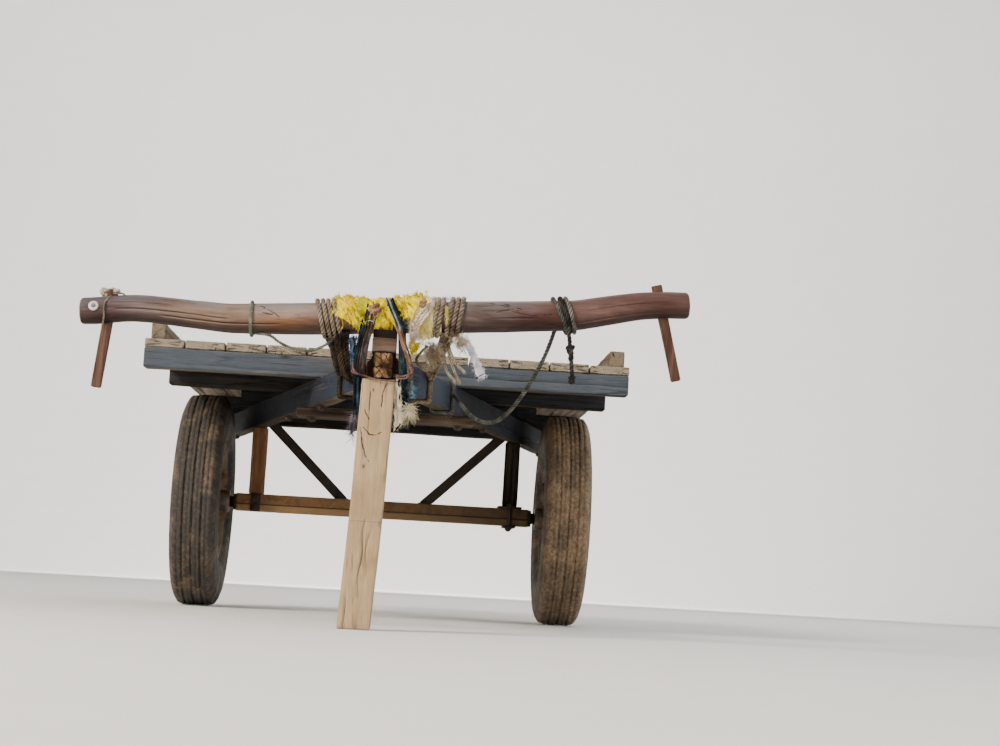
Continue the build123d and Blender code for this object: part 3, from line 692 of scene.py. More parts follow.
def eased(outline, radius):
    """An outline with each corner cut to three short runs."""
    result = []
    for before, here, after in zip(outline[-1:] + outline[:-1], outline, outline[1:] + outline[:1]):
        here = Vector(here)
        back, on = Vector(before) - here, Vector(after) - here
        back = back.normalized() * min(radius, back.length * 0.45)
        on = on.normalized() * min(radius, on.length * 0.45)
        for share in (0.0, 0.33, 0.67, 1.0):
            result.append(tuple(here + back * (1 - share) ** 2 + on * share ** 2))
    return result


def across_axis(axis):
    """An axis as a unit vector, and two directions square to it."""
    axis = Vector(axis).normalized()
    first = axis.orthogonal().normalized()
    return axis, first, axis.cross(first)


def heading(first, second, turn):
    """The way between two square directions at a turn from the first."""
    return first * math.cos(turn) + second * math.sin(turn)


def spoke(turn):
    """The way from a wheel's axis at a turn."""
    return heading(Vector((0, 1, 0)), Vector((0, 0, 1)), turn)


def circle(count, start=0.0):
    """Turns in radians, evenly spread round a circle."""
    return [2 * math.pi * number / count + start for number in range(count)]


def lathe(profile, middle, axis, around=96, wobble=0.0, seed=0.0, closed=True):
    """A turned shape from (along, radius) points. A closed profile is a ring; an open one ends on the axis."""
    axis, first, second = across_axis(axis)
    middle = Vector(middle)
    points = []
    for across, radius in profile:
        for turn in circle(around):
            out = heading(first, second, turn)
            point = middle + axis * across + out * radius
            if wobble:
                point += out * rumple(point, 30.0, seed) * wobble
            points.append(point)
    return points, tube_faces(len(profile), around, closed=closed, caps=not closed)


def hexagon(middle, axis, flats, height, turn=0.0):
    """A hexagon nut or bolt head with a chamfer at each end."""
    axis, first, second = across_axis(axis)
    radius = flats / math.sqrt(3)
    points = []
    for share, width in ((0.0, 0.9), (0.12, 1.0), (0.86, 1.0), (1.0, 0.86)):
        for angle in circle(24):
            flat = math.cos(math.pi / 6) / math.cos((angle + math.pi / 6) % (math.pi / 3) - math.pi / 6)
            reach = radius * min(flat, 1.0 if width == 1.0 else width)
            points.append(Vector(middle) + axis * height * share + heading(first, second, angle + turn) * reach)
    return points, tube_faces(4, 24)


def smooth_route(points, count):
    """Points read from a smooth NURBS curve whose control points are those given."""
    data = bpy.data.curves.new("route", "CURVE")
    data.dimensions = "3D"
    spline = data.splines.new("NURBS")
    spline.points.add(len(points) - 1)
    for control, point in zip(spline.points, points):
        control.co = (*point, 1.0)
    spline.order_u = 3
    spline.use_endpoint_u = True
    spline.resolution_u = max(4, count // max(1, len(points) - 2))
    carrier = bpy.data.objects.new("route", data)
    mesh = bpy.data.meshes.new_from_object(carrier)
    result = [vertex.co.copy() for vertex in mesh.vertices]
    bpy.data.objects.remove(carrier)
    bpy.data.curves.remove(data)
    bpy.data.meshes.remove(mesh)
    return result


def spaced(points, gap):
    """The same line with its points an even gap apart."""
    result = [Vector(points[0])]
    spare = 0.0
    for before, after in zip(points, points[1:]):
        before, after = Vector(before), Vector(after)
        run = (after - before).length
        place = gap - spare
        while place <= run:
            result.append(before.lerp(after, place / run))
            place += gap
        spare = run - (place - gap)
    if (result[-1] - Vector(points[-1])).length > gap * 0.3:
        result.append(Vector(points[-1]))
    return result


def frames(points):
    """Two directions across a line at each of its points, turned as little as can be."""
    across = None
    result = []
    for number in range(len(points)):
        before = points[max(0, number - 1)]
        after = points[min(len(points) - 1, number + 1)]
        way = (after - before).normalized()
        if across is None:
            across = way.orthogonal().normalized()
        else:
            across = (across - way * across.dot(way)).normalized()
        result.append((across, way.cross(across)))
    return result


def strand(build, points, radius, sides=7, start_at=0.0, seed=0.0, uneven=0.06, hub=None):
    """One round strand along a line, added to a build. hub is the rope's own line and radius, if it is in one."""
    across = frames(points)
    rows, lay = [], []
    place = start_at
    for number, (point, (first, second)) in enumerate(zip(points, across)):
        if number:
            place += (point - points[number - 1]).length
        reach = radius * (1 + uneven * rumple((place * 60, seed, 0), 1.0, seed))
        for angle in circle(sides):
            spot = point + first * math.cos(angle) * reach + second * math.sin(angle) * reach
            # how far out of the rope's middle the point lies, which the rope's painted shade reads
            out = (spot - hub[0][number]).length / hub[1] if hub else 1.0
            rows.append(spot)
            lay.append((place / radius, math.cos(angle) * out, math.sin(angle) * out))
    build.add(rows, tube_faces(len(points), sides), lay)


def twist(build, line, radius, strands=3, pitch=2.7, gap=None, sides=6, seed=0.0, loose=0.0):
    """A laid rope along a line: its strands wind round each other."""
    line = spaced(line, gap or radius * 0.6)
    across = frames(line)
    one = out = radius * 0.5
    for number in range(strands):
        turned_line = []
        place = 0.0
        for index, (point, (first, second)) in enumerate(zip(line, across)):
            if index:
                place += (point - line[index - 1]).length
            angle = 2 * math.pi * (place / (pitch * 2 * radius) + number / strands) + seed
            reach = out * (1 + loose * rumple((place * 30, number * 5.0, seed), 1.0, seed))
            turned_line.append(point + first * math.cos(angle) * reach + second * math.sin(angle) * reach)
        strand(build, turned_line, one, sides, number * 0.37, seed + number, hub=(line, radius))


def drawn(rng, *spans):
    """A vector whose numbers are drawn from three spans."""
    return Vector([rng.uniform(low, high) for low, high in spans or [(-1, 1)] * 3])


def hairs(build, roots, rng, length, radius=0.0004, droop=0.5, spread=0.6, steps=4, curl=0.25):
    """Loose fibres: each root is (point, direction)."""
    for point, way in roots:
        reach = length * rng.uniform(0.35, 1.0)
        way = (Vector(way).normalized() + drawn(rng) * spread).normalized()
        bend = drawn(rng) * curl
        line = [Vector(point)]
        for number in range(steps):
            way = (way + Vector((0, 0, -droop)) / steps + bend / steps).normalized()
            line.append(line[-1] + way * reach / steps)
        across = frames(line)
        rows = []
        for number, (spot, (first, second)) in enumerate(zip(line, across)):
            thick = radius * (1 - 0.75 * number / steps)
            for angle in circle(3):
                rows.append(spot + first * math.cos(angle) * thick + second * math.sin(angle) * thick)
        build.add(rows, tube_faces(len(line), 3))


# Materials: the tones are screen values from 0 to 255
BEAM_SKEW = math.atan(BEAM_SLOPE)
LEG_SPLITS = [
    [(-0.0466, 0.646), (-0.0314, 0.6176)], [(-0.0472, 0.5948), (-0.0285, 0.5724), (-0.0115, 0.5716), (0.0058, 0.5801)],
    [(-0.0595, 0.6059), (-0.0516, 0.5707), (-0.0465, 0.542), (-0.0376, 0.5148), (-0.0256, 0.4947)],
    [(0.0126, 0.7247), (0.0037, 0.6947), (0.0034, 0.6572)],
]
LEG_WOOD = wood("wood_leg", "Z", ((126, 104, 78), (166, 142, 110), (188, 165, 133)), rough=0.8, checks=0.5,
                dust=0.2, scribe=0.317, knots=[(-0.0385, 0.478, 0.0035), (-0.024, 0.705, 0.0025)], calm=0.6,
                splits=LEG_SPLITS)
# painted_shade darkens the tongue towards its tip, where the yoke and the cords shade it
TONGUE_WOOD = wood("wood_tongue", "Y", ((36, 27, 22), (70, 52, 40), (108, 84, 62)), rough=0.85, checks=0.8,
                   rings=85.0, worn=(tone(48, 35, 28), 0.4), cut_tones=(tone(88, 66, 46), tone(142, 112, 82)),
                   cut_middle=(-0.004, 0.021), painted_shade=(-1.28, -1.42, 0.92), dust=0.0, shine=0.0)
# The lip's tones are darkened as a painted shade of the yoke that lies over it.
LIP_SHADED_WOOD = wood("lip_wood_painted_shade", "X", ((46, 35, 28), (80, 65, 54), (108, 92, 79)), rough=0.66, checks=0.4)
# Nearly black: a painted shade in the hollow under the yoke.
SHADED_SADDLE = wood("saddle_wood_painted_shade", "Y", ((14, 10, 8), (26, 18, 14), (44, 31, 23)), rough=0.7, checks=0.5,
                   dust=0.0)
YOKE_WOOD = yoke_wood()
PIN_WOOD = wood("wood_pin", "Z", ((52, 36, 30), (82, 59, 49), (110, 85, 74)), rough=0.55, checks=0.3)
# painted_shade darkens the beams where they run under the deck
BEAM_WOOD = {
    side: wood(f"wood_beam_{side}", "Y", ((54, 46, 37), (82, 71, 57), (108, 95, 78)), rough=0.78,
               checks=0.7, skew=way * BEAM_SKEW, paint=("X", tone(38, 44, 55) if way < 0 else tone(56, 62, 73), 0.9),
               cut_tones=(tone(92, 92, 86), tone(126, 128, 124)), painted_shade=(-1.05, -0.62, 0.55))
    for side, way in SIDES.items()
}
TIE_WOOD = wood("wood_tie", "X", ((44, 36, 30), (78, 66, 54), (112, 98, 80)), checks=0.6)
FRONT_WOOD = wood("wood_front", "X", ((46, 42, 39), (78, 74, 70), (110, 106, 101)), checks=0.8,
                  paint=("Y", tone(66, 71, 78), 0.8))
# A darker copy of the front beam's wood: its tones are a painted shade for the cross timbers under the deck.
UNDERDECK_SHADED_WOOD = wood("underdeck_wood_painted_shade", "X", ((36, 31, 27), (60, 53, 46), (86, 78, 68)), checks=0.8,
                  paint=("Y", tone(56, 62, 69), 0.5), painted_shade=(-0.75, -0.5, 0.5), shine=0.04)
POST_WOOD = {
    "left": wood("wood_post_left", "Z", ((84, 58, 39), (128, 94, 66), (158, 124, 90)), checks=0.5),
    "right": wood("wood_post_right", "Z", ((18, 15, 13), (34, 30, 26), (56, 50, 43)), checks=0.6,
                  shine=0.05),
}
DECK_WOOD = wood("wood_deck", "Y", ((92, 80, 68), (132, 120, 104), (164, 154, 138)), checks=0.9, dust=0.45)
RAIL_WOOD = wood("wood_rail", "Y", ((72, 60, 48), (112, 98, 82), (146, 134, 116)), checks=0.8)
# The axle's right part is darkened by a painted shade.
AXLE_IRON = rust("iron_axle", ((88, 60, 37), (122, 92, 62), (150, 121, 86)), AXLE_TOP - 0.043,
                 shaded_part=(-0.05, 0.5, tone(44, 38, 32)))
DARK_IRON = rust("iron_dark", ((33, 28, 25), (50, 40, 33), (86, 73, 58)))
# Dark rusted iron, darkened further as a painted shade for the bolts under the deck.
BOLT_IRON = rust("iron_bolts", ((40, 31, 26), (62, 47, 37), (94, 77, 60)), rough=0.66)
TYRE_RUBBER = rubber()
RIM_PAINT = paint("paint_rim", tone(120, 112, 100), tone(96, 60, 38))
HUB_PAINT = paint("paint_hub", tone(84, 76, 70), tone(92, 60, 40))
HEMP = rope_stuff("rope_hemp", (94, 79, 67), (138, 120, 104), (190, 172, 154))
BEIGE_ROPE = rope_stuff("rope_beige", (116, 103, 84), (154, 140, 118), (194, 181, 158))
SLING_ROPE = {
    # The left sling's tones are darkened as a painted shade: it hangs in shade under the yoke.
    "left": rope_stuff("sling_left_painted_shade", (34, 28, 22), (60, 51, 42), (98, 86, 70)),
    "right": rope_stuff("rope_sling_right", (92, 78, 60), (142, 124, 100), (190, 172, 144)),
}
GREY_ROPE = rope_stuff("rope_grey", (60, 61, 57), (92, 92, 87), (128, 128, 121))
PALE_ROPE = rope_stuff("rope_pale", (128, 130, 124), (168, 170, 162), (200, 202, 194))
GREEN_ROPE = rope_stuff("rope_pale_green", (92, 98, 84), (128, 134, 116), (164, 169, 151))
NECK_GREEN = rope_stuff("rope_neck_green", (60, 61, 56), (89, 89, 83), (124, 124, 116))
NECK_PALE = rope_stuff("rope_neck_pale", (84, 83, 78), (120, 118, 112), (158, 156, 147))
DARK_ROPE = rope_stuff("rope_dark", (32, 30, 31), (54, 51, 51), (92, 87, 84))
ORANGE = rope_stuff("cord_orange", (134, 92, 64), (188, 142, 110), (220, 182, 152), yarns=5.0, fuzz=0.5)
DIM_ORANGE = rope_stuff("cord_dim", (56, 40, 34), (90, 66, 54), (128, 98, 82), yarns=5.0, fuzz=0.5)
TAN = rope_stuff("cord_tan", (76, 50, 40), (116, 84, 70), (152, 118, 102), yarns=5.0, fuzz=0.5)
TEAL = rope_stuff("cord_teal", (12, 24, 30), (24, 42, 50), (54, 76, 82), yarns=5.0, fuzz=0.5)
BLUE = rope_stuff("cord_blue", (34, 44, 62), (60, 78, 100), (104, 124, 146), yarns=5.0, fuzz=0.5)
WHITE = rope_stuff("cord_white", (150, 152, 152), (196, 198, 198), (230, 232, 232), yarns=5.0, fuzz=0.5)
PINK = rope_stuff("cord_pink", (92, 62, 58), (138, 98, 92), (176, 138, 130), yarns=5.0, fuzz=0.5)
LEFT_HEMP = rope_stuff("rope_left", (112, 95, 81), (150, 131, 114), (194, 177, 160))
YELLOW_THREAD = rope_stuff("thread_yellow", (158, 128, 0), (216, 190, 0), (244, 226, 10), rough=0.98)
GREY_THREAD = rope_stuff("thread_grey", (66, 60, 66), (104, 97, 104), (148, 141, 148), rough=0.98)
LOOSE_HEMP = rope_stuff("thread_hemp", (112, 98, 76), (158, 142, 116), (198, 184, 158))
BLUSH_THREAD = rope_stuff("thread_blush", (170, 144, 130), (206, 184, 170), (232, 218, 208))
STRAW_THREAD = rope_stuff("thread_straw", (158, 144, 110), (204, 192, 156), (232, 224, 198))
CREAM_THREAD = rope_stuff("thread_cream", (206, 184, 96), (234, 218, 136), (246, 238, 184))
BLUE_THREAD = rope_stuff("thread_blue", (24, 32, 42), (46, 60, 74), (82, 98, 112))
KNOT_CLOTH = cloth_stuff("cloth_knot", (112, 104, 88), (150, 142, 124), (182, 176, 158))
KNOT_RAG = cloth_stuff("cloth_knot_brown", (84, 58, 44), (124, 94, 72), (168, 138, 112))
YELLOW_CLOTH = cloth_stuff("cloth_yellow", (160, 126, 0), (216, 190, 0), (246, 226, 8), dirt=0.08,
                           pale=(-0.074, 0.02, tone(140, 148, 34)), fold_shade=0.8)
CREAM_CLOTH = cloth_stuff("cloth_cream", (188, 164, 98), (234, 216, 142), (248, 240, 192), fold_shade=0.5)
PINK_CLOTH = cloth_stuff("cloth_pale_pink", (150, 122, 106), (200, 176, 158), (230, 216, 202), dirt=0.2,
                         fold_shade=0.6)
SKY_CLOTH = cloth_stuff("cloth_sky", (46, 62, 74), (76, 98, 112), (116, 137, 150))
BLUE_CLOTH = cloth_stuff("cloth_blue", (22, 30, 42), (46, 62, 80), (86, 108, 126))
TEAL_CLOTH = cloth_stuff("cloth_teal", (8, 15, 20), (18, 30, 38), (44, 60, 66))
WORN_TEAL = cloth_stuff("cloth_worn_teal", (12, 21, 25), (27, 40, 44), (56, 71, 73))
BAND_CLOTH = cloth_stuff("cloth_band", (34, 31, 34), (60, 56, 59), (98, 92, 93))
GREY_CLOTH = cloth_stuff("cloth_grey", (182, 168, 140), (216, 204, 178), (238, 230, 210), dirt=0.12)
STRIP_CLOTH = cloth_stuff("cloth_strip", (130, 127, 134), (168, 165, 175), (206, 204, 213), dirt=0.12)


def box_rows(node, axis):
    """The rows of a straight timber that fills a CAD node's box, with its right and up directions."""
    low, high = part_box(node)
    middle, half = (low + high) / 2, (high - low) / 2
    ends = []
    for value in (low[axis], high[axis]):
        end = middle.copy()
        end[axis] = value
        ends.append(end)
    across, up = {0: (1, 2), 1: (0, 2), 2: (0, 1)}[axis]
    rows = [(end, half[across], half[up]) for end in ends]
    directions = [Vector([1.0 if number == which else 0.0 for number in range(3)]) for which in (across, up)]
    return rows, directions[0], directions[1]


def random_cracks(rng, count, gap=0.0008, depth=0.004, wander=0.006, sides=(0, 1, 2, 3)):
    """Drying cracks at drawn places, no two of them on one line."""
    cracks = []
    for number in range(count):
        start = rng.uniform(-0.25, 0.75)
        place = -0.75 + 1.5 * (number + rng.uniform(0.2, 0.8)) / count
        cracks.append((rng.choice(sides), place, start, start + rng.uniform(0.2, 0.6), gap * rng.uniform(0.5, 1.6),
                       depth * rng.uniform(0.6, 1.5), wander))
    return cracks


def beam_outer(y):
    """How far a beam's outer face stands from the cart's middle at a place along it."""
    return BEAM_HIGH.x - BEAM_SLOPE * (BEAM_HIGH.y - y)


def middle_of(node, axis=1):
    """The middle of a CAD node's box along an axis, from front to back if none is named."""
    low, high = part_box(node)
    return (low[axis] + high[axis]) / 2


CROSS_BEAMS = ("front_beam", "bearer_ahead", "bolster", "bearer_behind", "rear_beam")


def straight_timber(name, node, axis, material, slot, **detail):
    """A timber that fills a CAD node's box."""
    rows, right, up = box_rows(node, axis)
    solid_timber(name, node, rows, right, up, material, slot, **detail)


def make_timbers():
    """Every straight timber of the cart."""
    rng = random.Random(11)

    low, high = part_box("prop_leg")
    front = (low.y + high.y) / 2
    rows = [((x, front, z), 0.05, 0.036) for x, z in ((-0.04, low.z), (-0.021, high.z / 2), (-0.01, high.z))]
    cracks = [
        (0, 0.02, 0.12, 0.44, 0.0013, 0.009, 0.014), (0, 0.38, 0.2, 0.4, 0.0008, 0.006, 0.012),
        (0, -0.55, 0.66, 0.77, 0.0009, 0.006, 0.012), (0, -0.28, 0.78, 0.89, 0.0007, 0.004, 0.02),
        (0, 0.66, 0.86, 1.1, 0.0006, 0.004, 0.008), (0, -0.75, -0.1, 0.16, 0.0008, 0.006, 0.006),
        (1, 0.1, 0.3, 0.8, 0.0008, 0.005, 0.006), (3, -0.2, 0.1, 0.6, 0.0008, 0.005, 0.006),
        (2, 0.3, 0.2, 0.7, 0.0009, 0.006, 0.01), (2, -0.4, -0.1, 0.4, 0.0009, 0.006, 0.01),
    ]
    solid_timber("leg", "prop_leg", rows, (1, 0, 0), (0, -1, 0), LEG_WOOD, "timber_pale", "prop", corner=0.0065,
                 step=0.006, across=0.006, cracks=cracks, warp=0.0016, grain=0.0006, chips=0.6, seed=3.0)

    low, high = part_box("tongue")
    tip_level, level = low.z + 0.04, (low.z + high.z) / 2
    rows = [((0, low.y, tip_level), 0.03, 0.04), ((0, -1.585, tip_level), 0.043, 0.04),
            ((0, -1.319, level), BEAM_TOUCH, 0.0475), ((0, high.y, level), BEAM_TOUCH, 0.0475)]
    cracks = [(0, -0.35, -0.1, 0.22, 0.0012, 0.012, 0.003), (0, 0.4, -0.1, 0.16, 0.001, 0.009, 0.003),
              (2, 0.1, -0.1, 0.3, 0.0012, 0.01, 0.003), (1, 0.2, -0.1, 0.4, 0.0012, 0.008, 0.004),
              (3, -0.1, -0.1, 0.35, 0.0012, 0.008, 0.004), (0, 0.1, 0.4, 0.9, 0.0012, 0.008, 0.006),
              (2, -0.3, 0.4, 0.8, 0.0012, 0.008, 0.006)]
    solid_timber("tongue_timber", "tongue", rows, (1, 0, 0), (0, 0, 1), TONGUE_WOOD, "timber_dark", corner=0.005,
                 step=0.012, across=0.008, cracks=cracks, warp=0.0012, grain=0.0008, seed=7.0, end_rough=0.0035)

    straight_timber("cross_tie_plank", "cross_tie", 0, TIE_WOOD, "timber_beam", corner=0.004, step=0.012, across=0.008,
                    cracks=random_cracks(rng, 5, sides=(0, 2)), seed=9.0)

    for name, way in SIDES.items():
        depth = (BEAM_HIGH.z - BEAM_LOW.z) / 2
        level = (BEAM_HIGH.z + BEAM_LOW.z) / 2
        rows = []
        for y, bevel in ((BEAM_LOW.y, 0.013), (BEAM_LOW.y + 0.026, 0.0), (-1.2166, 0.0), (BEAM_HIGH.y, 0.0)):
            far = beam_outer(y) - bevel
            near = max(BEAM_TOUCH, far + bevel - BEAM_WIDE)
            rows.append(((way * (near + far) / 2, y, level), (far - near) / 2, depth))
        cracks = random_cracks(rng, 6, 0.001, 0.006, 0.008)
        solid_timber(f"beam_{name}", f"draught_beam_{name}", rows, (1, 0, 0), (0, 0, 1), BEAM_WOOD[name],
                     "timber_beam", corner=0.006, step=0.016, across=0.009, cracks=cracks, warp=0.0018, grain=0.0008,
                     chips=0.9, seed=13.0 + way, end_rough=0.002)
        straight_timber(f"post_timber_{name}", f"post_{name}", 2, POST_WOOD[name], "timber_frame", across=0.007,
                        cracks=random_cracks(rng, 4), chips=0.9, seed=17.0 + way)
        straight_timber(f"rail_{name}", f"side_rail_{name}", 1, RAIL_WOOD, "timber_frame", corner=0.007, step=0.024,
                        across=0.009, cracks=random_cracks(rng, 6), chips=0.9, seed=21.0 + way)

    for number, node in enumerate(CROSS_BEAMS):
        stuff = FRONT_WOOD if node == "front_beam" else UNDERDECK_SHADED_WOOD
        straight_timber(f"{node}_timber", node, 0, stuff, "timber_frame", corner=0.007, step=0.021, across=0.01,
                        cracks=random_cracks(rng, 6), warp=0.002, chips=0.9, seed=31.0 + number)


def make_deck():
    """The planks, each with its own cracks and chipped edges, and two nails where it crosses a bearer."""
    low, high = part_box("deck_planks")
    count, gap = 12, 0.004
    pitch = (high.x - low.x + gap) / count
    rng = random.Random(23)
    planks, nails = Build(), Build()
    lines = [middle_of(node) for node in CROSS_BEAMS]
    level = (low.z + high.z) / 2
    half = (high.z - low.z) / 2
    for number in range(count):
        middle = low.x + pitch * (number + 0.5) - gap / 2
        wide = (pitch - gap) / 2
        sag = rng.uniform(0.0, 0.0012)
        rows = [((middle, low.y + rng.uniform(0, 0.004), level - sag), wide, half - sag),
                ((middle, high.y - rng.uniform(0, 0.004), level - sag), wide, half - sag)]
        planks.add(*timber(rows, (1, 0, 0), (0, 0, 1), corner=0.003, step=0.055, across=0.02,
                           cracks=random_cracks(rng, 3, 0.001, 0.005, 0.01, (0, 0, 2)), warp=0.0015, chips=0.7,
                           seed=40.0 + number))
        for y in lines:
            for side in (-1, 1):
                spot = (middle + side * wide * 0.55 + rng.uniform(-0.006, 0.006), y + rng.uniform(-0.02, 0.02),
                        high.z - 0.0036)
                nails.add(*lathe([(0.0, 0.0045), (0.0016, 0.0045), (0.0028, 0.003), (0.003, 0.0001)], spot, (0, 0, 1),
                                 10, closed=False))
    planks.piece("deck", DECK_WOOD, "timber_deck", node="deck_planks")
    nails.piece("deck_nails", BOLT_IRON, "iron_rusty")


def yoke_table(along, column):
    """A value of the yoke's table at a place along it."""
    share = along / YOKE_HALF
    for before, after in zip(YOKE_SHAPE, YOKE_SHAPE[1:]):
        if share <= after[0]:
            part = max(0.0, (share - before[0]) / (after[0] - before[0]))
            return before[column] + (after[column] - before[column]) * part
    return YOKE_SHAPE[-1][column]


def eased_table(along, column):
    """The same, with the table's corners rounded."""
    return sum(yoke_table(along + step * 0.012, column) for step in (-2, -1, 0, 1, 2)) / 5


def taper_at(along):
    """The yoke's radius at a place along it."""
    return YOKE_RADIUS * eased_table(along, 2)


def rise_at(along):
    """How far the yoke's axis stands above its straight line at a place along it."""
    return YOKE_HALF * eased_table(along, 1)


YOKE_SHIFT = (YOKE_SHAPE[0][1] + YOKE_SHAPE[-1][1]) / 2 * YOKE_HALF * math.sin(YOKE_TILT)
YOKE_PLACE = Matrix.Translation((YOKE_SHIFT, YOKE_Y, YOKE_Z)) @ Matrix.Rotation(-YOKE_TILT, 4, "Y")


def on_yoke(along, angle, off=0.0):
    """A point off the yoke's skin: angle is in degrees from its top over to its front."""
    turn = math.radians(angle)
    reach = taper_at(along) + off
    return YOKE_PLACE @ Vector((along, -reach * math.sin(turn), rise_at(along) + reach * math.cos(turn)))


def before_yoke(x, z, off=0.0):
    """The point in front of the yoke, so far off its skin, that has this x and z."""
    middle = on_yoke(x, 0, -taper_at(x))
    reach = taper_at(x) + off
    rise = max(-reach, min(reach, z - middle.z))
    return Vector((x, middle.y - math.sqrt(max(0.0, reach ** 2 - rise ** 2)), z))


def bells(along, places):
    """The sum of smooth bumps (middle, half width, height) at a place along the yoke."""
    return sum(much * math.exp(-((along - middle) / half) ** 2) for middle, half, much in places)


def make_yoke():
    """The yoke: a hand-cut pole with flats, a worn skin and cracks that open along it."""
    rng = random.Random(5)
    cracks = [(97, -0.88, -0.52, 0.0009, 0.006), (70, -0.9, -0.66, 0.0007, 0.004), (118, -0.74, -0.35, 0.0008, 0.005),
              (82, -0.425, -0.355, 0.0009, 0.004), (63, -0.41, -0.345, 0.0006, 0.003),
              (91, -0.95, -0.89, 0.0016, 0.007),
              (57, 0.275, 0.37, 0.0008, 0.004), (75, 0.29, 0.41, 0.0007, 0.003), (104, 0.34, 0.5, 0.0006, 0.003),
              (130, 0.45, 0.9, 0.0008, 0.005), (86, 0.66, 0.9, 0.0009, 0.006), (20, -0.6, -0.1, 0.0008, 0.005),
              (330, 0.1, 0.7, 0.0008, 0.005), (250, -0.7, 0.2, 0.0009, 0.005), (200, 0.2, 0.8, 0.0009, 0.005)]
    # where orange is painted on the yoke: partly rubbed wood, partly painted warm light
    sunlit_rub_places = [(-0.31, 0.09, 0.8), (-0.11, 0.04, 0.6), (0.28, 0.07, 0.2), (-0.56, 0.08, 0.3), (0.66, 0.06, 0.2)]
    dark_places = [(0.45, 0.1, 1.0), (-0.84, 0.09, 0.75), (0.3, 0.05, 0.3), (0.83, 0.08, 0.6), (-0.45, 0.06, 0.4)]
    around = sorted([(number * 5.0, None, 0) for number in range(72)
                     if all(abs(number * 5.0 - crack[0]) > 3.5 for crack in cracks)]
                    + [(crack[0] + part * 0.05, crack, part) for crack in cracks for part in (-1, 0, 1)],
                    key=lambda item: item[0])
    corner = 0.012
    count = 230
    places = [-YOKE_HALF + corner * share for share in (0.0, 0.12, 0.3, 0.6)]
    places += [-YOKE_HALF + corner + (2 * YOKE_HALF - 2 * corner) * number / count for number in range(count + 1)]
    places += [YOKE_HALF - corner * share for share in (0.6, 0.3, 0.12, 0.0)]
    points, lay, sunlit_rub, dusk = [], [], [], []
    for along in places:
        sunlit_rub += [bells(along, sunlit_rub_places)] * len(around)
        dusk += [bells(along, dark_places)] * len(around)
        end = min(1.0, (YOKE_HALF - abs(along)) / corner)
        inset = corner * (1 - math.sqrt(max(0.0, 1 - (1 - end) ** 2)))
        for angle, crack, part in around:
            turn = angle
            deep = 0.0
            if crack:
                _, first, last, gap, depth = crack
                share = along / YOKE_HALF
                inside = min(1.0, max(0.0, (share - first) * 14), max(0.0, (last - share) * 14))
                turn += 5.0 * rumple((along * 8, crack[0], 0), 1.0, 2.0)
                turn += math.degrees(part * (0.0003 + gap * inside) / YOKE_RADIUS)
                deep = depth * inside if part == 0 else 0.0
            radians = math.radians(turn)
            x, y = math.sin(radians), math.cos(radians)
            facets = abs(rumple((along * 3.5, x * 1.6, y * 1.6), 1.0, 4.0)) * 0.0032
            cuts = max(0.0, rumple((along * 16, x * 2.5, y * 2.5), 1.0, 6.0) - 0.3) * 0.003
            grain = abs(rumple((along * 9, x * 9, y * 9), 1.0, 8.0)) * 0.0005
            points.append(on_yoke(along, turn, -inset - facets - cuts - grain - deep))
            lay.append((along, x, y))
    ring = len(around)
    faces = tube_faces(len(places), ring, caps=False)
    for row, way in ((0, 1), (len(places) - 1, -1)):
        fresh = close_end(points, faces, row * ring, ring, on_yoke(places[row], 0, -taper_at(places[row])),
                          Vector((way, 0, 0)), way > 0, (0.8, 0.55, 0.3, 0.1),
                          lambda point, share: 0.001 + 0.0016 * abs(rumple(point, 60.0, 1.0)), 0.002)
        lay += [NO_LAY] * fresh
        sunlit_rub += [0.0] * fresh
        dusk += [0.5] * fresh
    piece("yoke_pole", points, faces, YOKE_WOOD, lay=lay, extra={"sunlit_rub": sunlit_rub, "dusk": dusk},
          node="yoke")

    for name, way in SIDES.items():
        spread, lean = 0.828, math.radians(10)
        rise = YOKE_HALF * yoke_table(way * spread, 1)
        place = YOKE_PLACE @ Matrix.Translation((way * spread, 0, rise)) @ Matrix.Rotation(-way * lean, 4, "Y")
        turn = place.to_3x3()
        rows = [(place @ Vector((0, 0, z)), half, 0.0073)
                for z, half in ((-0.2365, 0.0135), (-0.232, 0.0155), (-0.1, 0.016), (0.062, 0.0165))]
        solid_timber(f"yoke_stave_{name}", f"yoke_pin_{name}", rows, turn @ Vector((1, 0, 0)),
                     turn @ Vector((0, -1, 0)), PIN_WOOD, "timber_yoke", corner=0.0035, step=0.005, across=0.005,
                     cracks=random_cracks(rng, 2, 0.0005, 0.002, 0.002, (0, 2)), warp=0.0008, grain=0.0004, chips=0.3,
                     seed=50.0 + way)

    ring, screw = Build(), Build()
    spot = on_yoke(-0.871, 76, -0.003)
    out = (spot - on_yoke(-0.871, 76, -0.03)).normalized()
    ring.add(*lathe([(0.0, 0.015), (0.003, 0.0152), (0.005, 0.0135), (0.0052, 0.008), (0.0036, 0.0064),
                     (0.0, 0.0062)], spot, out, 40))
    ring.piece("yoke_washer", paint("paint_washer", tone(214, 212, 206), tone(150, 140, 128)), "iron_rusty")
    screw.add(*lathe([(0.0, 0.0064), (0.004, 0.0062), (0.0062, 0.0045), (0.0068, 0.0001)], spot, out, 28,
                     closed=False))
    screw.piece("yoke_washer_screw", paint("paint_screw", tone(96, 108, 132), tone(70, 62, 58)), "iron_rusty")


